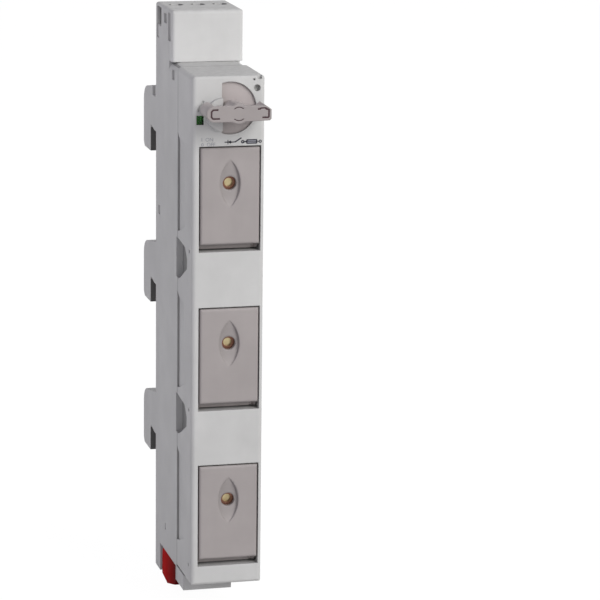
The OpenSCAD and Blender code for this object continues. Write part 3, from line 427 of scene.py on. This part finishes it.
def make_depth_group():
    """A factor that changes between two places on the Y axis, or on the Z axis where Rise is 1."""
    group, entry, exit_node = new_group(
        "depth_tone",
        [("Front", "NodeSocketFloat", 0.0), ("Back", "NodeSocketFloat", 1 * MM),
         ("At front", "NodeSocketFloat", 1.0), ("At back", "NodeSocketFloat", 1.0),
         ("Rise", "NodeSocketFloat", 0.0)],
        [("Factor", "NodeSocketFloat")])
    place = group.nodes.new("ShaderNodeTexCoord")
    split = tree_node(group, "ShaderNodeSeparateXYZ", {0: place.outputs["Object"]})
    along = maths(group, "ADD",
                  maths(group, "MULTIPLY", split.outputs["Z"], entry.outputs["Rise"]),
                  maths(group, "MULTIPLY", split.outputs["Y"],
                        maths(group, "SUBTRACT", 1.0, entry.outputs["Rise"])))
    factor = tree_node(group, "ShaderNodeMapRange", {
        0: along, 1: entry.outputs["Front"], 2: entry.outputs["Back"],
        3: entry.outputs["At front"], 4: entry.outputs["At back"]})
    group.links.new(factor.outputs[0], exit_node.inputs["Factor"])
    return group


def make_shade_group():
    """Shade in the busbar slots, in the pockets and slots of the sides, and along the seam."""
    group, _, exit_node = new_group("shaded_places", [], [("Shade", "NodeSocketFloat")])
    place = group.nodes.new("ShaderNodeTexCoord")
    at = tree_node(group, "ShaderNodeSeparateXYZ", {0: place.outputs["Object"]})
    plain = group.nodes.new("ShaderNodeNewGeometry")
    facing = tree_node(group, "ShaderNodeSeparateXYZ", {0: plain.outputs["Normal"]})
    # the slots lie in the lower half of each pole's pitch
    pole = maths(group, "MODULO", maths(group, "ADD", at.outputs["Z"], 5 * POLE_PITCH), POLE_PITCH)
    under = maths(group, "GREATER_THAN", pole, POLE_PITCH / 2)
    behind = maths(group, "GREATER_THAN", at.outputs["Y"], BACK_PLAY)
    inside = maths(group, "LESS_THAN", at.outputs["Y"], SLOT_DEPTH)
    level = maths(group, "GREATER_THAN", maths(group, "ABSOLUTE", facing.outputs["Z"]), LEVEL_FACE)
    forwards = maths(group, "LESS_THAN", facing.outputs["Y"], -FORWARD_FACE)
    slot = maths(group, "MULTIPLY", maths(group, "MULTIPLY", behind, under),
                 maths(group, "MAXIMUM", forwards, maths(group, "MULTIPLY", inside, level)))
    # floors of the pockets and slots in the sides
    across = maths(group, "ABSOLUTE", at.outputs["X"])
    turned = maths(group, "ABSOLUTE", facing.outputs["X"])
    sideways = maths(group, "GREATER_THAN", turned, SIDE_FACE)
    sunk = maths(group, "MULTIPLY", maths(group, "LESS_THAN", across, HALF - SIDE_RELIEF), sideways)
    inner = maths(group, "GREATER_THAN", at.outputs["Y"], BODY_FRONT + FRONT_RELIEF)
    ahead = maths(group, "LESS_THAN", at.outputs["Y"], -BACK_PLAY)
    sunk = maths(group, "MULTIPLY", maths(group, "MULTIPLY", sunk, inner), ahead)
    # a soft dark line along the seam
    away = maths(group, "ABSOLUTE", maths(group, "SUBTRACT", at.outputs["Y"], SEAM))
    seam = maths(group, "SUBTRACT", 1.0, maths(group, "DIVIDE", away, SEAM_WIDTH), clamp=True)
    both = maths(group, "MAXIMUM", slot, maths(group, "MULTIPLY", sunk, POCKET_SHADE))
    both = maths(group, "MAXIMUM", both, maths(group, "MULTIPLY", seam, SEAM_SHADE))
    group.links.new(both, exit_node.inputs["Shade"])
    return group


# the shared effects and the finishes, by name
GROUPS = {}
FINISHES = {}


def shade(colour, factor):
    return tuple(max(0.0, min(1.0, c * factor)) for c in colour[:3]) + (1.0,)


def new_finish(name):
    """A material with one shader, kept under its name."""
    made = bpy.data.materials.new(name)
    made.use_nodes = True
    tree = made.node_tree
    tree.nodes.clear()
    out = tree.nodes.new("ShaderNodeOutputMaterial")
    shader = tree.nodes.new("ShaderNodeBsdfPrincipled")
    tree.links.new(shader.outputs[0], out.inputs[0])
    FINISHES[name] = made
    return tree, shader


def effect(tree, key, inputs=None):
    """A node of a shared effect, with its inputs set."""
    made = tree.nodes.new("ShaderNodeGroup")
    made.node_tree = GROUPS[key]
    for label, value in (inputs or {}).items():
        made.inputs[label].default_value = value
    return made


def spread(tree, value, span, first, last):
    """Spreads the values in a range over the results from first to last."""
    made = tree_node(tree, "ShaderNodeMapRange", {
        0: value, 1: span[0], 2: span[1], 3: first, 4: last})
    return made.outputs[0]


def finish_surface(tree, shader, texture, edge, roughness, drift, strength, height):
    """Links the drift of the roughness and the bump over the softened edges."""
    rough = spread(
        tree, texture.outputs["Gloss"], GLOSS_RANGE, roughness - drift[0], roughness + drift[1])
    tree.links.new(rough, shader.inputs["Roughness"])
    bump = tree_node(tree, "ShaderNodeBump", {
        "Strength": strength, "Distance": height,
        "Height": texture.outputs["Height"], "Normal": edge.outputs["Normal"]})
    tree.links.new(bump.outputs[0], shader.inputs["Normal"])


def plastic(name, colour, roughness=0.48, grain=0.05, grain_scale=2600.0, drift=0.05, edge_wear_and_highlight=0.18,
            edge_radius=0.3 * MM, crease=0.22, crease_distance=2 * MM, top_dust_and_shade=0.08, specular=0.5,
            top_dust_and_shade_colour=(0.62, 0.6, 0.57, 1.0), depths=(), heights=(), places=0.0):
    """Moulded plastic with grain, a drift of tone, paler edges, painted shade in creases and specks
    on tops.

    The paler edges are partly rubbed and partly a painted highlight. Dust makes the specks on most
    finishes; where their colour is dark, on the housing and the terminal cover, they are painted
    shade.

    depths lists front and back places with the tones there, and heights lower and upper ones.
    places is how strongly the housing's shaded places show.
    """
    tree, shader = new_finish(name)
    shader.inputs["Specular IOR Level"].default_value = specular
    edge = effect(tree, "edges", {"Radius": edge_radius})
    texture = effect(tree, "grain", {"Scale": grain_scale})
    shade_and_dust = effect(tree, "shade_and_dust", {"Distance": crease_distance})
    tone = spread(tree, texture.outputs["Tone"], TONE_RANGE, 0.0, 1.0)
    base = mix_colour(tree, tone, shade(colour, 1 - drift), shade(colour, 1 + drift))
    # tones that change with depth or height: painted light and shade on most finishes, a darker
    # lens on the carriers
    for span in tuple(depths) + tuple(heights):
        inputs = dict(zip(("Front", "Back", "At front", "At back"), span))
        factor = effect(tree, "depth", dict(inputs, Rise=float(span in heights))).outputs[0]
        scaled = tree_node(
            tree, "ShaderNodeVectorMath", {0: base, "Scale": factor}, operation="SCALE")
        base = scaled.outputs[0]
    # painted shade in the busbar slots, the side pockets and along the seam
    if places:
        hidden = maths(tree, "MULTIPLY", effect(tree, "places").outputs[0], places)
        base = mix_colour(tree, hidden, base, shade(colour, PLACE_TONE))
    # paler edges: partly wear, partly a painted highlight
    wear_and_highlight = maths(tree, "MULTIPLY", edge.outputs["Edge"], edge_wear_and_highlight, clamp=True)
    base = mix_colour(tree, wear_and_highlight, base, shade(colour, WEAR_AND_HIGHLIGHT_TONE))
    # painted shade in the creases, from ambient occlusion
    dark = maths(tree, "MULTIPLY", shade_and_dust.outputs["Crease"], crease, clamp=True)
    base = mix_colour(tree, dark, base, shade(colour, CREASE_TONE))
    # specks on faces that look up: a little dust on most finishes, painted shade on the tops of the
    # housing and the terminal cover
    top_dust_and_shade_amount = maths(tree, "MULTIPLY", shade_and_dust.outputs["Top"], top_dust_and_shade, clamp=True)
    base = mix_colour(tree, top_dust_and_shade_amount, base, top_dust_and_shade_colour)
    tree.links.new(base, shader.inputs["Base Color"])
    finish_surface(tree, shader, texture, edge, roughness, GLOSS_DRIFT, grain, 0.2 * MM)


def metal(name, colour, dark, roughness=0.3, lines=900.0):
    """Rolled metal with stains, paler edges and fine lines."""
    tree, shader = new_finish(name)
    shader.inputs["Metallic"].default_value = 1.0
    edge = effect(tree, "edges", {"Radius": 0.2 * MM})
    texture = effect(tree, "metal", {"Lines": lines})
    spots = spread(tree, texture.outputs["Tone"], STAIN_RANGE, 0.0, STAIN_AMOUNT)
    base = mix_colour(tree, spots, tuple(colour) + (1.0,), tuple(dark) + (1.0,))
    wear_and_highlight = maths(tree, "MULTIPLY", edge.outputs["Edge"], METAL_EDGE, clamp=True)
    base = mix_colour(tree, wear_and_highlight, base, shade(colour, METAL_EDGE_TONE))
    tree.links.new(base, shader.inputs["Base Color"])
    finish_surface(tree, shader, texture, edge, roughness, METAL_GLOSS_DRIFT, 0.08, 0.1 * MM)


def clear_plastic(name, colour):
    """Clear plastic with a slight drift of tone."""
    tree, shader = new_finish(name)
    shader.inputs["Transmission Weight"].default_value = 1.0
    shader.inputs["IOR"].default_value = 1.12
    texture = effect(tree, "grain", {"Scale": 900.0})
    base = mix_colour(tree, texture.outputs["Tone"], shade(colour, 0.97), shade(colour, 1.03))
    tree.links.new(base, shader.inputs["Base Color"])
    rough = spread(tree, texture.outputs["Gloss"], GLOSS_RANGE, 0.03, 0.1)
    tree.links.new(rough, shader.inputs["Roughness"])


def dress(node, finish):
    """Gives a carried-over part its finish."""
    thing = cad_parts[node]
    thing.data.materials.clear()
    thing.data.materials.append(FINISHES[finish])


# settings

class HousingSettings(bpy.types.PropertyGroup):
    colour: bpy.props.FloatVectorProperty(
        name="Housing colour", description="Colour of the moulded housing", subtype="COLOR",
        size=3, min=0, max=1, default=(0.58, 0.578, 0.568))
    grain: bpy.props.FloatProperty(
        name="Grain", description="Strength of the moulded grain", min=0, max=0.5, default=0.06)


class CarrierSettings(bpy.types.PropertyGroup):
    colour: bpy.props.FloatVectorProperty(
        name="Carrier colour", description="Colour of the fuse carriers", subtype="COLOR",
        size=3, min=0, max=1, default=(0.40, 0.365, 0.358))
    grain: bpy.props.FloatProperty(
        name="Grain", description="Strength of the moulded grain", min=0, max=0.5, default=0.05)


class LeverSettings(bpy.types.PropertyGroup):
    colour: bpy.props.FloatVectorProperty(
        name="Lever colour", description="Colour of the lever and the dial", subtype="COLOR",
        size=3, min=0, max=1, default=(0.40, 0.362, 0.355))
    edge: bpy.props.FloatProperty(
        name="Lever rounding", description="How far the lever's edges look rounded",
        min=0.0002, max=0.001, default=0.0005, unit="LENGTH")


class PrintSettings(bpy.types.PropertyGroup):
    ink: bpy.props.FloatVectorProperty(
        name="Ink colour", description="Colour of the printed circuit symbol", subtype="COLOR",
        size=3, min=0, max=1, default=(0.045, 0.045, 0.06))
    line: bpy.props.FloatProperty(
        name="Line width", description="Width of the printed lines",
        min=0.0002, max=0.0008, default=0.00048, unit="LENGTH")


class StageSettings(bpy.types.PropertyGroup):
    key_power: bpy.props.FloatProperty(
        name="Key light", description="Power of the soft light at the front right",
        min=0, max=100, default=18.5)
    fill: bpy.props.FloatProperty(
        name="Fill", description="Strength of the even light from all round",
        min=0, max=2, default=0.35)


class DISCONNECTOR_OT_finishes(bpy.types.Operator):
    """Make the finishes that the pieces share"""
    bl_idname = "disconnector.finishes"
    bl_label = "Finishes"

    def execute(self, context):
        scene = context.scene
        GROUPS["edges"] = make_edge_group()
        GROUPS["grain"] = make_grain_group()
        GROUPS["shade_and_dust"] = make_shade_and_dust_group()
        GROUPS["metal"] = make_brushed_group()
        GROUPS["depth"] = make_depth_group()
        GROUPS["places"] = make_shade_group()
        housing = tuple(scene.disconnector_housing.colour)
        carrier = tuple(scene.disconnector_carrier.colour)
        lever = tuple(scene.disconnector_lever.colour)
        grain = scene.disconnector_housing.grain
        # painted light and shade on the housing: shade in creases, slots, pockets and along the
        # seam, dark specks that darken the tops, and a front a little lighter from below the
        # lever's axis upwards
        plastic("housing_grey", housing, 0.55, grain, edge_radius=0.45 * MM, edge_wear_and_highlight=0.1,
                specular=0.25, crease=0.24, crease_distance=6 * MM,
                top_dust_and_shade=0.85, top_dust_and_shade_colour=shade(housing, 0.5), places=0.88,
                heights=((AXIS_Z - 20 * MM, AXIS_Z + 2 * MM, 1.0, 1.055),))
        # painted light and shade on the terminal cover: dark specks that darken its top, and
        # lighter towards its bottom
        plastic("cover_grey", shade(housing, 1.09), 0.55, grain, edge_radius=0.45 * MM, edge_wear_and_highlight=0.1,
                specular=0.25, crease=0.1,
                top_dust_and_shade=0.8, top_dust_and_shade_colour=shade(housing, 0.5),
                heights=((low("terminal_cover").z, high("terminal_cover").z - 4 * MM, 1.11, 1.0),))
        # the carriers' tone gets darker from the front face into the lens; painted light lifts the
        # shaded finger recess, and the lift is taken back further in
        plastic("carrier_grey", carrier, 0.45, scene.disconnector_carrier.grain, 3000.0,
                edge_radius=1.2 * MM, edge_wear_and_highlight=0.04, specular=0.35, crease=0.15, crease_distance=5 * MM,
                depths=((PLATE_FRONT + 0.1 * MM, PLATE_FRONT + 0.9 * MM, 0.93, 0.84),
                        (PLATE_FRONT + 2.4 * MM, PLATE_FRONT + 4 * MM, 1.0, 1.9),
                        (PLATE_FRONT + 5.4 * MM, PLATE_FRONT + 6.4 * MM, 1.0, 0.6)))
        # painted light and shade: the lever's face darker, and lighter towards the dial behind it
        plastic("lever_grey", lever, 0.42, 0.04, 3000.0, edge_radius=scene.disconnector_lever.edge,
                specular=0.35, crease=0.2, crease_distance=3 * MM,
                depths=((LEVER_FRONT + 1 * MM, BODY_FRONT, 0.86, 1.2),))
        # painted shade: the dark fill of the lever's grooves
        plastic("groove_shade", (0.05, 0.02, 0.025), 0.5, 0.05, edge_wear_and_highlight=0.0)
        plastic("inner_white", (0.62, 0.6, 0.56), 0.4, 0.04)
        # painted light and shade: the latch darker towards the front and lighter towards the back
        plastic("latch_red", (0.24, 0.004, 0.004), 0.7, 0.05, 1800.0, drift=0.12, specular=0.03,
                top_dust_and_shade=0.0, depths=((-34 * MM, -14 * MM, 0.5, 2.1),))
        plastic("flag_green", (0.045, 0.2, 0.04), 0.5, 0.05, drift=0.12, specular=0.2)
        plastic("flag_red", (0.42, 0.02, 0.02), 0.4, 0.05, drift=0.12)
        plastic("ink", tuple(scene.disconnector_print.ink), 0.55, 0.02, edge_wear_and_highlight=0.0, crease=0.0)
        plastic("faint_ink", (0.36, 0.365, 0.41), 0.55, 0.02, edge_wear_and_highlight=0.0, crease=0.0)
        plastic("ceramic", (0.78, 0.75, 0.69), 0.22, 0.06, 900.0, drift=0.05)
        metal("copper", (0.72, 0.36, 0.22), (0.36, 0.15, 0.09), 0.3)
        metal("brass", (0.52, 0.44, 0.26), (0.3, 0.21, 0.1), 0.32)
        metal("spring_steel", (0.62, 0.62, 0.64), (0.3, 0.28, 0.27), 0.28)
        metal("zinc_steel", (0.7, 0.71, 0.72), (0.42, 0.41, 0.38), 0.34, 500.0)
        # painted shade: the contact cups are made dark to stand for the shadow in the test holes
        metal("shaded_contact_cup", (0.2, 0.1, 0.07), (0.1, 0.045, 0.03), 0.34)
        clear_plastic("clear_window", (0.9, 0.93, 0.91))
        return {"FINISHED"}


class DISCONNECTOR_OT_housing(bpy.types.Operator):
    """Finish the rear housing, the front cover and the terminal cover"""
    bl_idname = "disconnector.housing"
    bl_label = "Housing"

    def execute(self, context):
        for node in ("rear_housing", "front_cover"):
            dress(node, "housing_grey")
        dress("terminal_cover", "cover_grey")
        dress("indicator_window", "clear_window")
        return {"FINISHED"}


class DISCONNECTOR_OT_print(bpy.types.Operator):
    """Print the circuit symbol and the switch positions on the front"""
    bl_idname = "disconnector.print"
    bl_label = "Print"

    def execute(self, context):
        line = context.scene.disconnector_print.line
        row = AXIS_Z - ROW_DROP * MM
        front, back = BODY_FRONT - INK_RISE, BODY_FRONT + INK_DEPTH

        def at(x, z=0.0):
            """A place in the printed row, from millimetres beside and above its zero."""
            return (x + ROW_SHIFT) * MM, row + z * MM

        shapes = [
            # plug with its cross, the open contact and the fixed contact
            band([at(-2.0), at(2.0)], line * 0.8),
            band([at(-0.75, -0.8), at(-0.75, 0.8)], line * 0.7),
            [at(-0.55), at(0.1, -0.62), at(0.75), at(0.1, 0.62)],
            band([at(1.9), at(4.3, 1.5)], line),
            ring(*at(4.75), DOT_RADIUS * MM, line),
            band([at(5.1), at(6.2)], line),
            # fuse
            band([at(6.2, -0.62), at(10.1, -0.62)], line),
            band([at(6.2, 0.62), at(10.1, 0.62)], line),
            band([at(6.3, -FUSE_HALF), at(6.3, FUSE_HALF)], line),
            band([at(10.0, -FUSE_HALF), at(10.0, FUSE_HALF)], line),
            band([at(6.3), at(10.9)], line * 0.6),
            ring(*at(11.3), DOT_RADIUS * MM, line * 0.8),
        ]
        parts = [outline_piece("symbol_line", points, front, back) for points in shapes]
        finish_piece(join("circuit_symbol", parts), FINISHES["ink"], "housing")
        # the fuse's outline is filled, a little behind its lines
        filling = [
            at(6.3, -FUSE_HALF), at(10.0, -FUSE_HALF), at(10.0, FUSE_HALF), at(6.3, FUSE_HALF)]
        faint = [
            add_words("position", "I  ON", *at(-10.7, 0.45), SIGN_HEIGHT, BODY_FRONT, INK_RISE),
            add_words("position", "0  OFF", *at(-10.7, -1.35), SIGN_HEIGHT, BODY_FRONT, INK_RISE),
            outline_piece("fuse_symbol", filling, BODY_FRONT - INK_RISE / 3, back),
        ]
        finish_piece(join("position_marks", faint), FINISHES["faint_ink"], "housing")
        return {"FINISHED"}


class DISCONNECTOR_OT_switch(bpy.types.Operator):
    """Finish the lever, the pinion, the switch bar and its flags"""
    bl_idname = "disconnector.switch"
    bl_label = "Switch"

    def execute(self, context):
        dress("handle", "lever_grey")
        dress("drive_pinion", "inner_white")
        dress("switch_bar", "inner_white")
        dress("flag_green", "flag_green")
        dress("flag_red", "flag_red")
        # painted shade: dark fills in the grooves of the lever
        left = LEVER_LEFT + LEFT_END * MM
        right = LEVER_RIGHT - RIGHT_END * MM
        places = [
            [(left + x * MM, AXIS_Z + z * MM) for x, z in LEFT_LINE],
            [(right + x * MM, AXIS_Z + z * MM) for x, z in RIGHT_LINE],
        ]
        for start, end in HUB_SPANS:
            places.append(ring(FACE_X, AXIS_Z, HUB_RADIUS, HUB_LINE, start, end))
        front, back = LEVER_FRONT + GROOVE_SHADE_TOP, LEVER_FRONT + GROOVE_SHADE_FLOOR
        lines = [outline_piece("lever_line", points, front, back) for points in places]
        finish_piece(join("lever_groove_shade", lines), FINISHES["groove_shade"], "switch_lever")
        return {"FINISHED"}


class DISCONNECTOR_OT_carriers(bpy.types.Operator):
    """Finish the fuse carriers and the fuses"""
    bl_idname = "disconnector.carriers"
    bl_label = "Carriers and fuses"

    def execute(self, context):
        for n in (1, 2, 3):
            dress("fuse_carrier_%d" % n, "carrier_grey")
            dress("carrier_contact_%d" % n, "shaded_contact_cup")
            dress("fuse_body_%d" % n, "ceramic")
            dress("front_cap_%d" % n, "brass")
            dress("foot_cap_%d" % n, "brass")
            dress("gauge_ring_%d" % n, "ceramic")
        return {"FINISHED"}


class DISCONNECTOR_OT_metals(bpy.types.Operator):
    """Finish the contacts, conductors, terminals and springs"""
    bl_idname = "disconnector.metals"
    bl_label = "Contacts and terminals"

    def execute(self, context):
        for n in (1, 2, 3):
            for node in ("contact_bridge", "base_contact", "busbar_contact", "load_conductor"):
                dress("%s_%d" % (node, n), "copper")
            for node in ("bridge_spring", "hook_spring"):
                dress("%s_%d" % (node, n), "spring_steel")
            for node in ("terminal_cage", "terminal_screw"):
                dress("%s_%d" % (node, n), "zinc_steel")
        dress("latch_spring", "spring_steel")
        return {"FINISHED"}


class DISCONNECTOR_OT_latch(bpy.types.Operator):
    """Finish the release latch"""
    bl_idname = "disconnector.latch"
    bl_label = "Latch"

    def execute(self, context):
        dress("latch", "latch_red")
        return {"FINISHED"}


def seen_rays(tree):
    """1 for the rays that show a surface to the camera, itself or in a mirror or through glass."""
    path = tree.nodes.new("ShaderNodeLightPath")
    indirect = maths(
        tree, "MAXIMUM", path.outputs["Is Glossy Ray"], path.outputs["Is Transmission Ray"])
    return maths(tree, "MAXIMUM", path.outputs["Is Camera Ray"], indirect)


class DISCONNECTOR_OT_stage(bpy.types.Operator):
    """Set up the floor, the lamps, the world and the camera"""
    bl_idname = "disconnector.stage"
    bl_label = "Stage"

    def execute(self, context):
        scene = context.scene
        settings = scene.disconnector_stage
        deselect()
        floor_z = CAD_BOX[0][2] - FLOOR_GAP
        bpy.ops.mesh.primitive_plane_add(size=FLOOR_SIZE, location=(0, 0, floor_z))
        floor = context.object
        floor.name = "floor"
        paper = bpy.data.materials.new("floor_paper")
        paper.use_nodes = True
        tree = paper.node_tree
        tree.nodes.clear()
        out = tree.nodes.new("ShaderNodeOutputMaterial")
        body = tree_node(tree, "ShaderNodeBsdfPrincipled", {
            "Base Color": (0.6, 0.6, 0.6, 1.0), "Roughness": 0.9})
        glow = tree_node(tree, "ShaderNodeEmission", {"Color": (1, 1, 1, 1), "Strength": 1.1})
        share = maths(tree, "MULTIPLY", seen_rays(tree), GLOW_SHARE)
        both = tree_node(tree, "ShaderNodeMixShader", {
            0: share, 1: body.outputs[0], 2: glow.outputs[0]})
        tree.links.new(both.outputs[0], out.inputs[0])
        floor.data.materials.append(paper)

        world = bpy.data.worlds.new("studio")
        scene.world = world
        world.use_nodes = True
        tree = world.node_tree
        tree.nodes.clear()
        out = tree.nodes.new("ShaderNodeOutputWorld")
        even = tree_node(tree, "ShaderNodeBackground", {
            "Color": (0.965, 0.95, 1.0, 1.0), "Strength": settings.fill})
        white = tree_node(tree, "ShaderNodeBackground", {"Color": (1, 1, 1, 1), "Strength": 1.0})
        both = tree_node(tree, "ShaderNodeMixShader", {
            0: seen_rays(tree), 1: even.outputs[0], 2: white.outputs[0]})
        tree.links.new(both.outputs[0], out.inputs[0])

        for name, place, aim, size, share, colour in LAMPS:
            data = bpy.data.lights.new(name, "AREA")
            data.shape = "RECTANGLE"
            data.size, data.size_y = size
            data.energy = settings.key_power * share
            data.color = colour
            lamp = bpy.data.objects.new(name, data)
            scene.collection.objects.link(lamp)
            lamp.location = place
            lamp.rotation_euler = (Vector(aim) - Vector(place)).to_track_quat("-Z", "Y").to_euler()

        data = bpy.data.cameras.new("camera")
        camera = bpy.data.objects.new("camera", data)
        scene.collection.objects.link(camera)
        camera.location = CAMERA_PLACE
        camera.rotation_euler = [math.radians(angle) for angle in CAMERA_TURN]
        data.sensor_width = 36
        data.lens = CAMERA_LENS
        data.clip_start = 0.01
        data.clip_end = 50
        scene.camera = camera
        scene.view_settings.view_transform = "Standard"
        return {"FINISHED"}


class DISCONNECTOR_PT_panel(bpy.types.Panel):
    """Sizes, colours and steps of the disconnector"""
    bl_label = "Disconnector"
    bl_idname = "DISCONNECTOR_PT_panel"
    bl_space_type = "VIEW_3D"
    bl_region_type = "UI"
    bl_category = "Disconnector"

    def draw(self, context):
        scene = context.scene
        layout = self.layout
        for name in SETTINGS:
            box = layout.box()
            settings = getattr(scene, name)
            for key in settings.__annotations__:
                box.prop(settings, key)
        for step in STEPS:
            layout.operator(step)


SETTINGS = {
    "disconnector_housing": HousingSettings,
    "disconnector_carrier": CarrierSettings,
    "disconnector_lever": LeverSettings,
    "disconnector_print": PrintSettings,
    "disconnector_stage": StageSettings,
}
STEPS = [
    "disconnector.finishes", "disconnector.housing", "disconnector.print", "disconnector.switch",
    "disconnector.carriers", "disconnector.metals", "disconnector.latch", "disconnector.stage",
]
CLASSES = [
    DISCONNECTOR_OT_finishes, DISCONNECTOR_OT_housing, DISCONNECTOR_OT_print,
    DISCONNECTOR_OT_switch, DISCONNECTOR_OT_carriers, DISCONNECTOR_OT_metals,
    DISCONNECTOR_OT_latch, DISCONNECTOR_OT_stage, DISCONNECTOR_PT_panel,
]


def register():
    for name, group in SETTINGS.items():
        bpy.utils.register_class(group)
        setattr(bpy.types.Scene, name, bpy.props.PointerProperty(type=group))
    for made in CLASSES:
        bpy.utils.register_class(made)


def unregister():
    for made in reversed(CLASSES):
        bpy.utils.unregister_class(made)
    for name, group in SETTINGS.items():
        delattr(bpy.types.Scene, name)
        bpy.utils.unregister_class(group)


def main():
    register()
    for step in STEPS:
        area, name = step.split(".")
        getattr(getattr(bpy.ops, area), name)()


if __name__ == "__main__":
    main()
